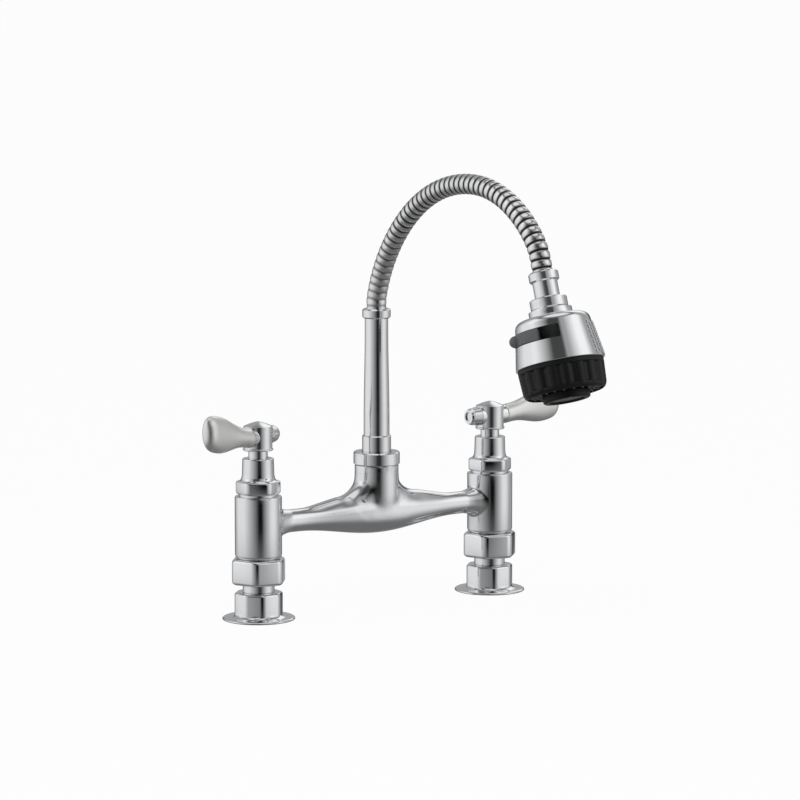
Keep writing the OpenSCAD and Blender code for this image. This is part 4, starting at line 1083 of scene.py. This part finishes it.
window_inner = 20
window_outer = 32
window = sector("window", [(window_inner, slide_s), (window_outer, slide_s + slide_h)],
                window_from, window_span, 48)
apply_modifier(window, "BEVEL", width=1.2 * MM, segments=4, limit_method="ANGLE",
               angle_limit=math.radians(40))
cut_away(bell, window)
place_piece(bell, head_frame)
finish_piece(bell, turned_chrome, "spray_head", ["bell_shell"], smooth_angle=30)

# %% [markdown]
# The grip field is a grid of low pads, staggered like bricks. One pad is modelled as a bevelled
# block and copied over the flank, and the copies are joined.

# %% The grip pads on the bell's flank
PAD_COLUMNS = 9
PAD_ROWS = 7
pad_columns_from = 4
pad_column_step = 8
pad_first_s = shoulder_s + 3.4
pad_row_step = 3.5
pad_size = (2.9, 2.3, 1.5)
pad_edge = 0.45
bell_slope = math.atan((mouth_r - shoulder_r) / (mouth_s - shoulder_s))
lay_on_flank = Matrix.Rotation(bell_slope, 4, "Y") @ Matrix(
    ((0, 0, 1, 0), (0, 1, 0, 0), (-1, 0, 0, 0), (0, 0, 0, 1)))

select_only()
bpy.ops.mesh.primitive_cube_add(size=1, location=(0, 0, 0))
pad = bpy.context.object
pad.name = "bell_grip_pads"
bpy.ops.object.mode_set(mode="EDIT")
bpy.ops.transform.resize(value=[size * MM for size in pad_size])
bpy.ops.object.mode_set(mode="OBJECT")
apply_modifier(pad, "BEVEL", width=pad_edge * MM, segments=3)
pads = []
for column in range(PAD_COLUMNS):
    for row in range(PAD_ROWS - column % 2):
        s = pad_first_s + (row + 0.5 * (column % 2)) * pad_row_step
        copy = copy_of(pad)
        turn = math.radians(pad_columns_from + column * pad_column_step)
        on_flank = Matrix.Translation(Vector((flank_r(s) - 0.05, 0, s)) * MM)
        place_piece(
            copy, head_frame @ Matrix.Rotation(turn, 4, "Z") @ on_flank @ lay_on_flank)
        pads.append(copy)
bpy.data.objects.remove(pad)
select_only(*pads)
bpy.ops.object.join()
grip_pads = bpy.context.object
grip_pads.name = "bell_grip_pads"
finish_piece(grip_pads, turned_chrome, "spray_head", ["bell_shell"], smooth_angle=40)

# %% [markdown]
# The diverter is a curved slide in the bell's window with a round knob for the thumb. Its edges
# are rounded as a moulding's are, so light runs along them.

# %% The diverter slide and its knob
slide_from = 152
slide_span = 62
slide_play = 0.35
slide_inner = bell_wall + 0.65
slide = sector("diverter_thumb_slide", [
    (flank_r(slide_s) - slide_inner, slide_s + slide_play),
    (flank_r(slide_s + slide_h / 2) + 0.6, slide_s + slide_h - slide_play)],
    slide_from, slide_span, 40)
apply_modifier(slide, "BEVEL", width=0.7 * MM, segments=3, limit_method="ANGLE",
               angle_limit=math.radians(40))
knob_r = 4.2
knob_reach = 4.6
knob_foot = 1.5
knob_from_end = 9   # degrees between the knob and the slide's end
knob_base_r = flank_r(slide_s + slide_h / 2) - knob_foot
knob = turned("knob", [(knob_r, 0), (knob_r, knob_foot)] + [
    (knob_r * math.cos(math.radians(a)), knob_foot + knob_reach * math.sin(math.radians(a)))
    for a in (12, 24, 36, 48, 60, 72, 82)], sides=64)
knob_turn = Matrix.Rotation(math.radians(slide_from + slide_span - knob_from_end), 4, "Z")
knob_base = Vector((knob_base_r, 0, slide_s + slide_h / 2))
place_piece(knob, knob_turn @ Matrix.Translation(knob_base * MM) @ Matrix.Rotation(
    math.pi / 2, 4, "Y"))
join_to(slide, knob)
place_piece(slide, head_frame)
finish_piece(slide, slide_abs, "diverter", ["diverter_slide"], smooth_angle=40)

# %% [markdown]
# The black ring under the bell has soft pockets all round, so that wet fingers can turn it. The
# disc's corners are pulled in by groups before it is raised, eighteen pockets with rounded flanks.

# %% The black grip ring
POCKETS = 18
CORNERS_PER_POCKET = 10
POCKET_DEPTHS = {3: 0.2, 4: 0.8, 5: 1.35, 6: 1.5, 7: 1.35, 8: 0.8, 9: 0.2}
ring_top_r = 29.1
ring_foot_r = 28.2
ring_h = 20.0
pocket_s = mouth_s + 3.2
ring_corners = POCKETS * CORNERS_PER_POCKET
foot_s = mouth_s + ring_h

ring = start_disc("grip_ring_fluted", ring_top_r, pocket_s, ring_corners, 180 / POCKETS)
for place, depth in POCKET_DEPTHS.items():
    bpy.ops.mesh.select_mode(type="VERT")
    bpy.ops.mesh.select_all(action="DESELECT")
    bpy.ops.object.mode_set(mode="OBJECT")
    for index, vertex in enumerate(ring.data.vertices):
        vertex.select = index % CORNERS_PER_POCKET == place
    bpy.ops.object.mode_set(mode="EDIT")
    pull = (ring_top_r - depth) / ring_top_r
    resize_at(pull, pull, (0, 0, pocket_s * MM))
bpy.ops.mesh.select_mode(type="FACE")
bpy.ops.mesh.select_all(action="SELECT")
raise_disc([
    (ring_top_r, pocket_s), (ring_top_r - 0.05, pocket_s + 0.6),
    (ring_foot_r + 0.1, foot_s - 4), (ring_foot_r - 0.15, foot_s - 2.8),
    (ring_foot_r - 0.7, foot_s - 1.6), (ring_foot_r - 1.5, foot_s - 0.7),
    (ring_foot_r - 2.6, foot_s)])
join_to(ring, turned("ring_band", [
    (27.6, mouth_s - 3), (27.9, mouth_s - 0.1), (ring_top_r - 0.4, mouth_s - 0.1),
    (ring_top_r, mouth_s + 0.4), (ring_top_r, pocket_s - 0.4),
    (ring_top_r - 0.5, pocket_s + 0.2),
    (ring_top_r - 2.2, pocket_s + 1.2)], sides=ring_corners))
join_to(ring, turned("ring_foot", [
    (ring_foot_r - 1.7, foot_s - 4.4), (ring_foot_r - 0.5, foot_s - 3.4),
    (ring_foot_r - 0.35, foot_s - 2.6), (ring_foot_r - 0.8, foot_s - 1.5),
    (ring_foot_r - 1.6, foot_s - 0.6), (ring_foot_r - 2.65, foot_s)], sides=ring_corners))
cut_away(ring, turned("ring_hollow", [
    (25.7, mouth_s - 4), (25.5, mouth_s), (25.2, 77), (25.5, 77), (25.5, foot_s + 1)], sides=96))
place_piece(ring, head_frame)
finish_piece(ring, black_abs, "spray_head", ["grip_ring"], smooth_angle=35)
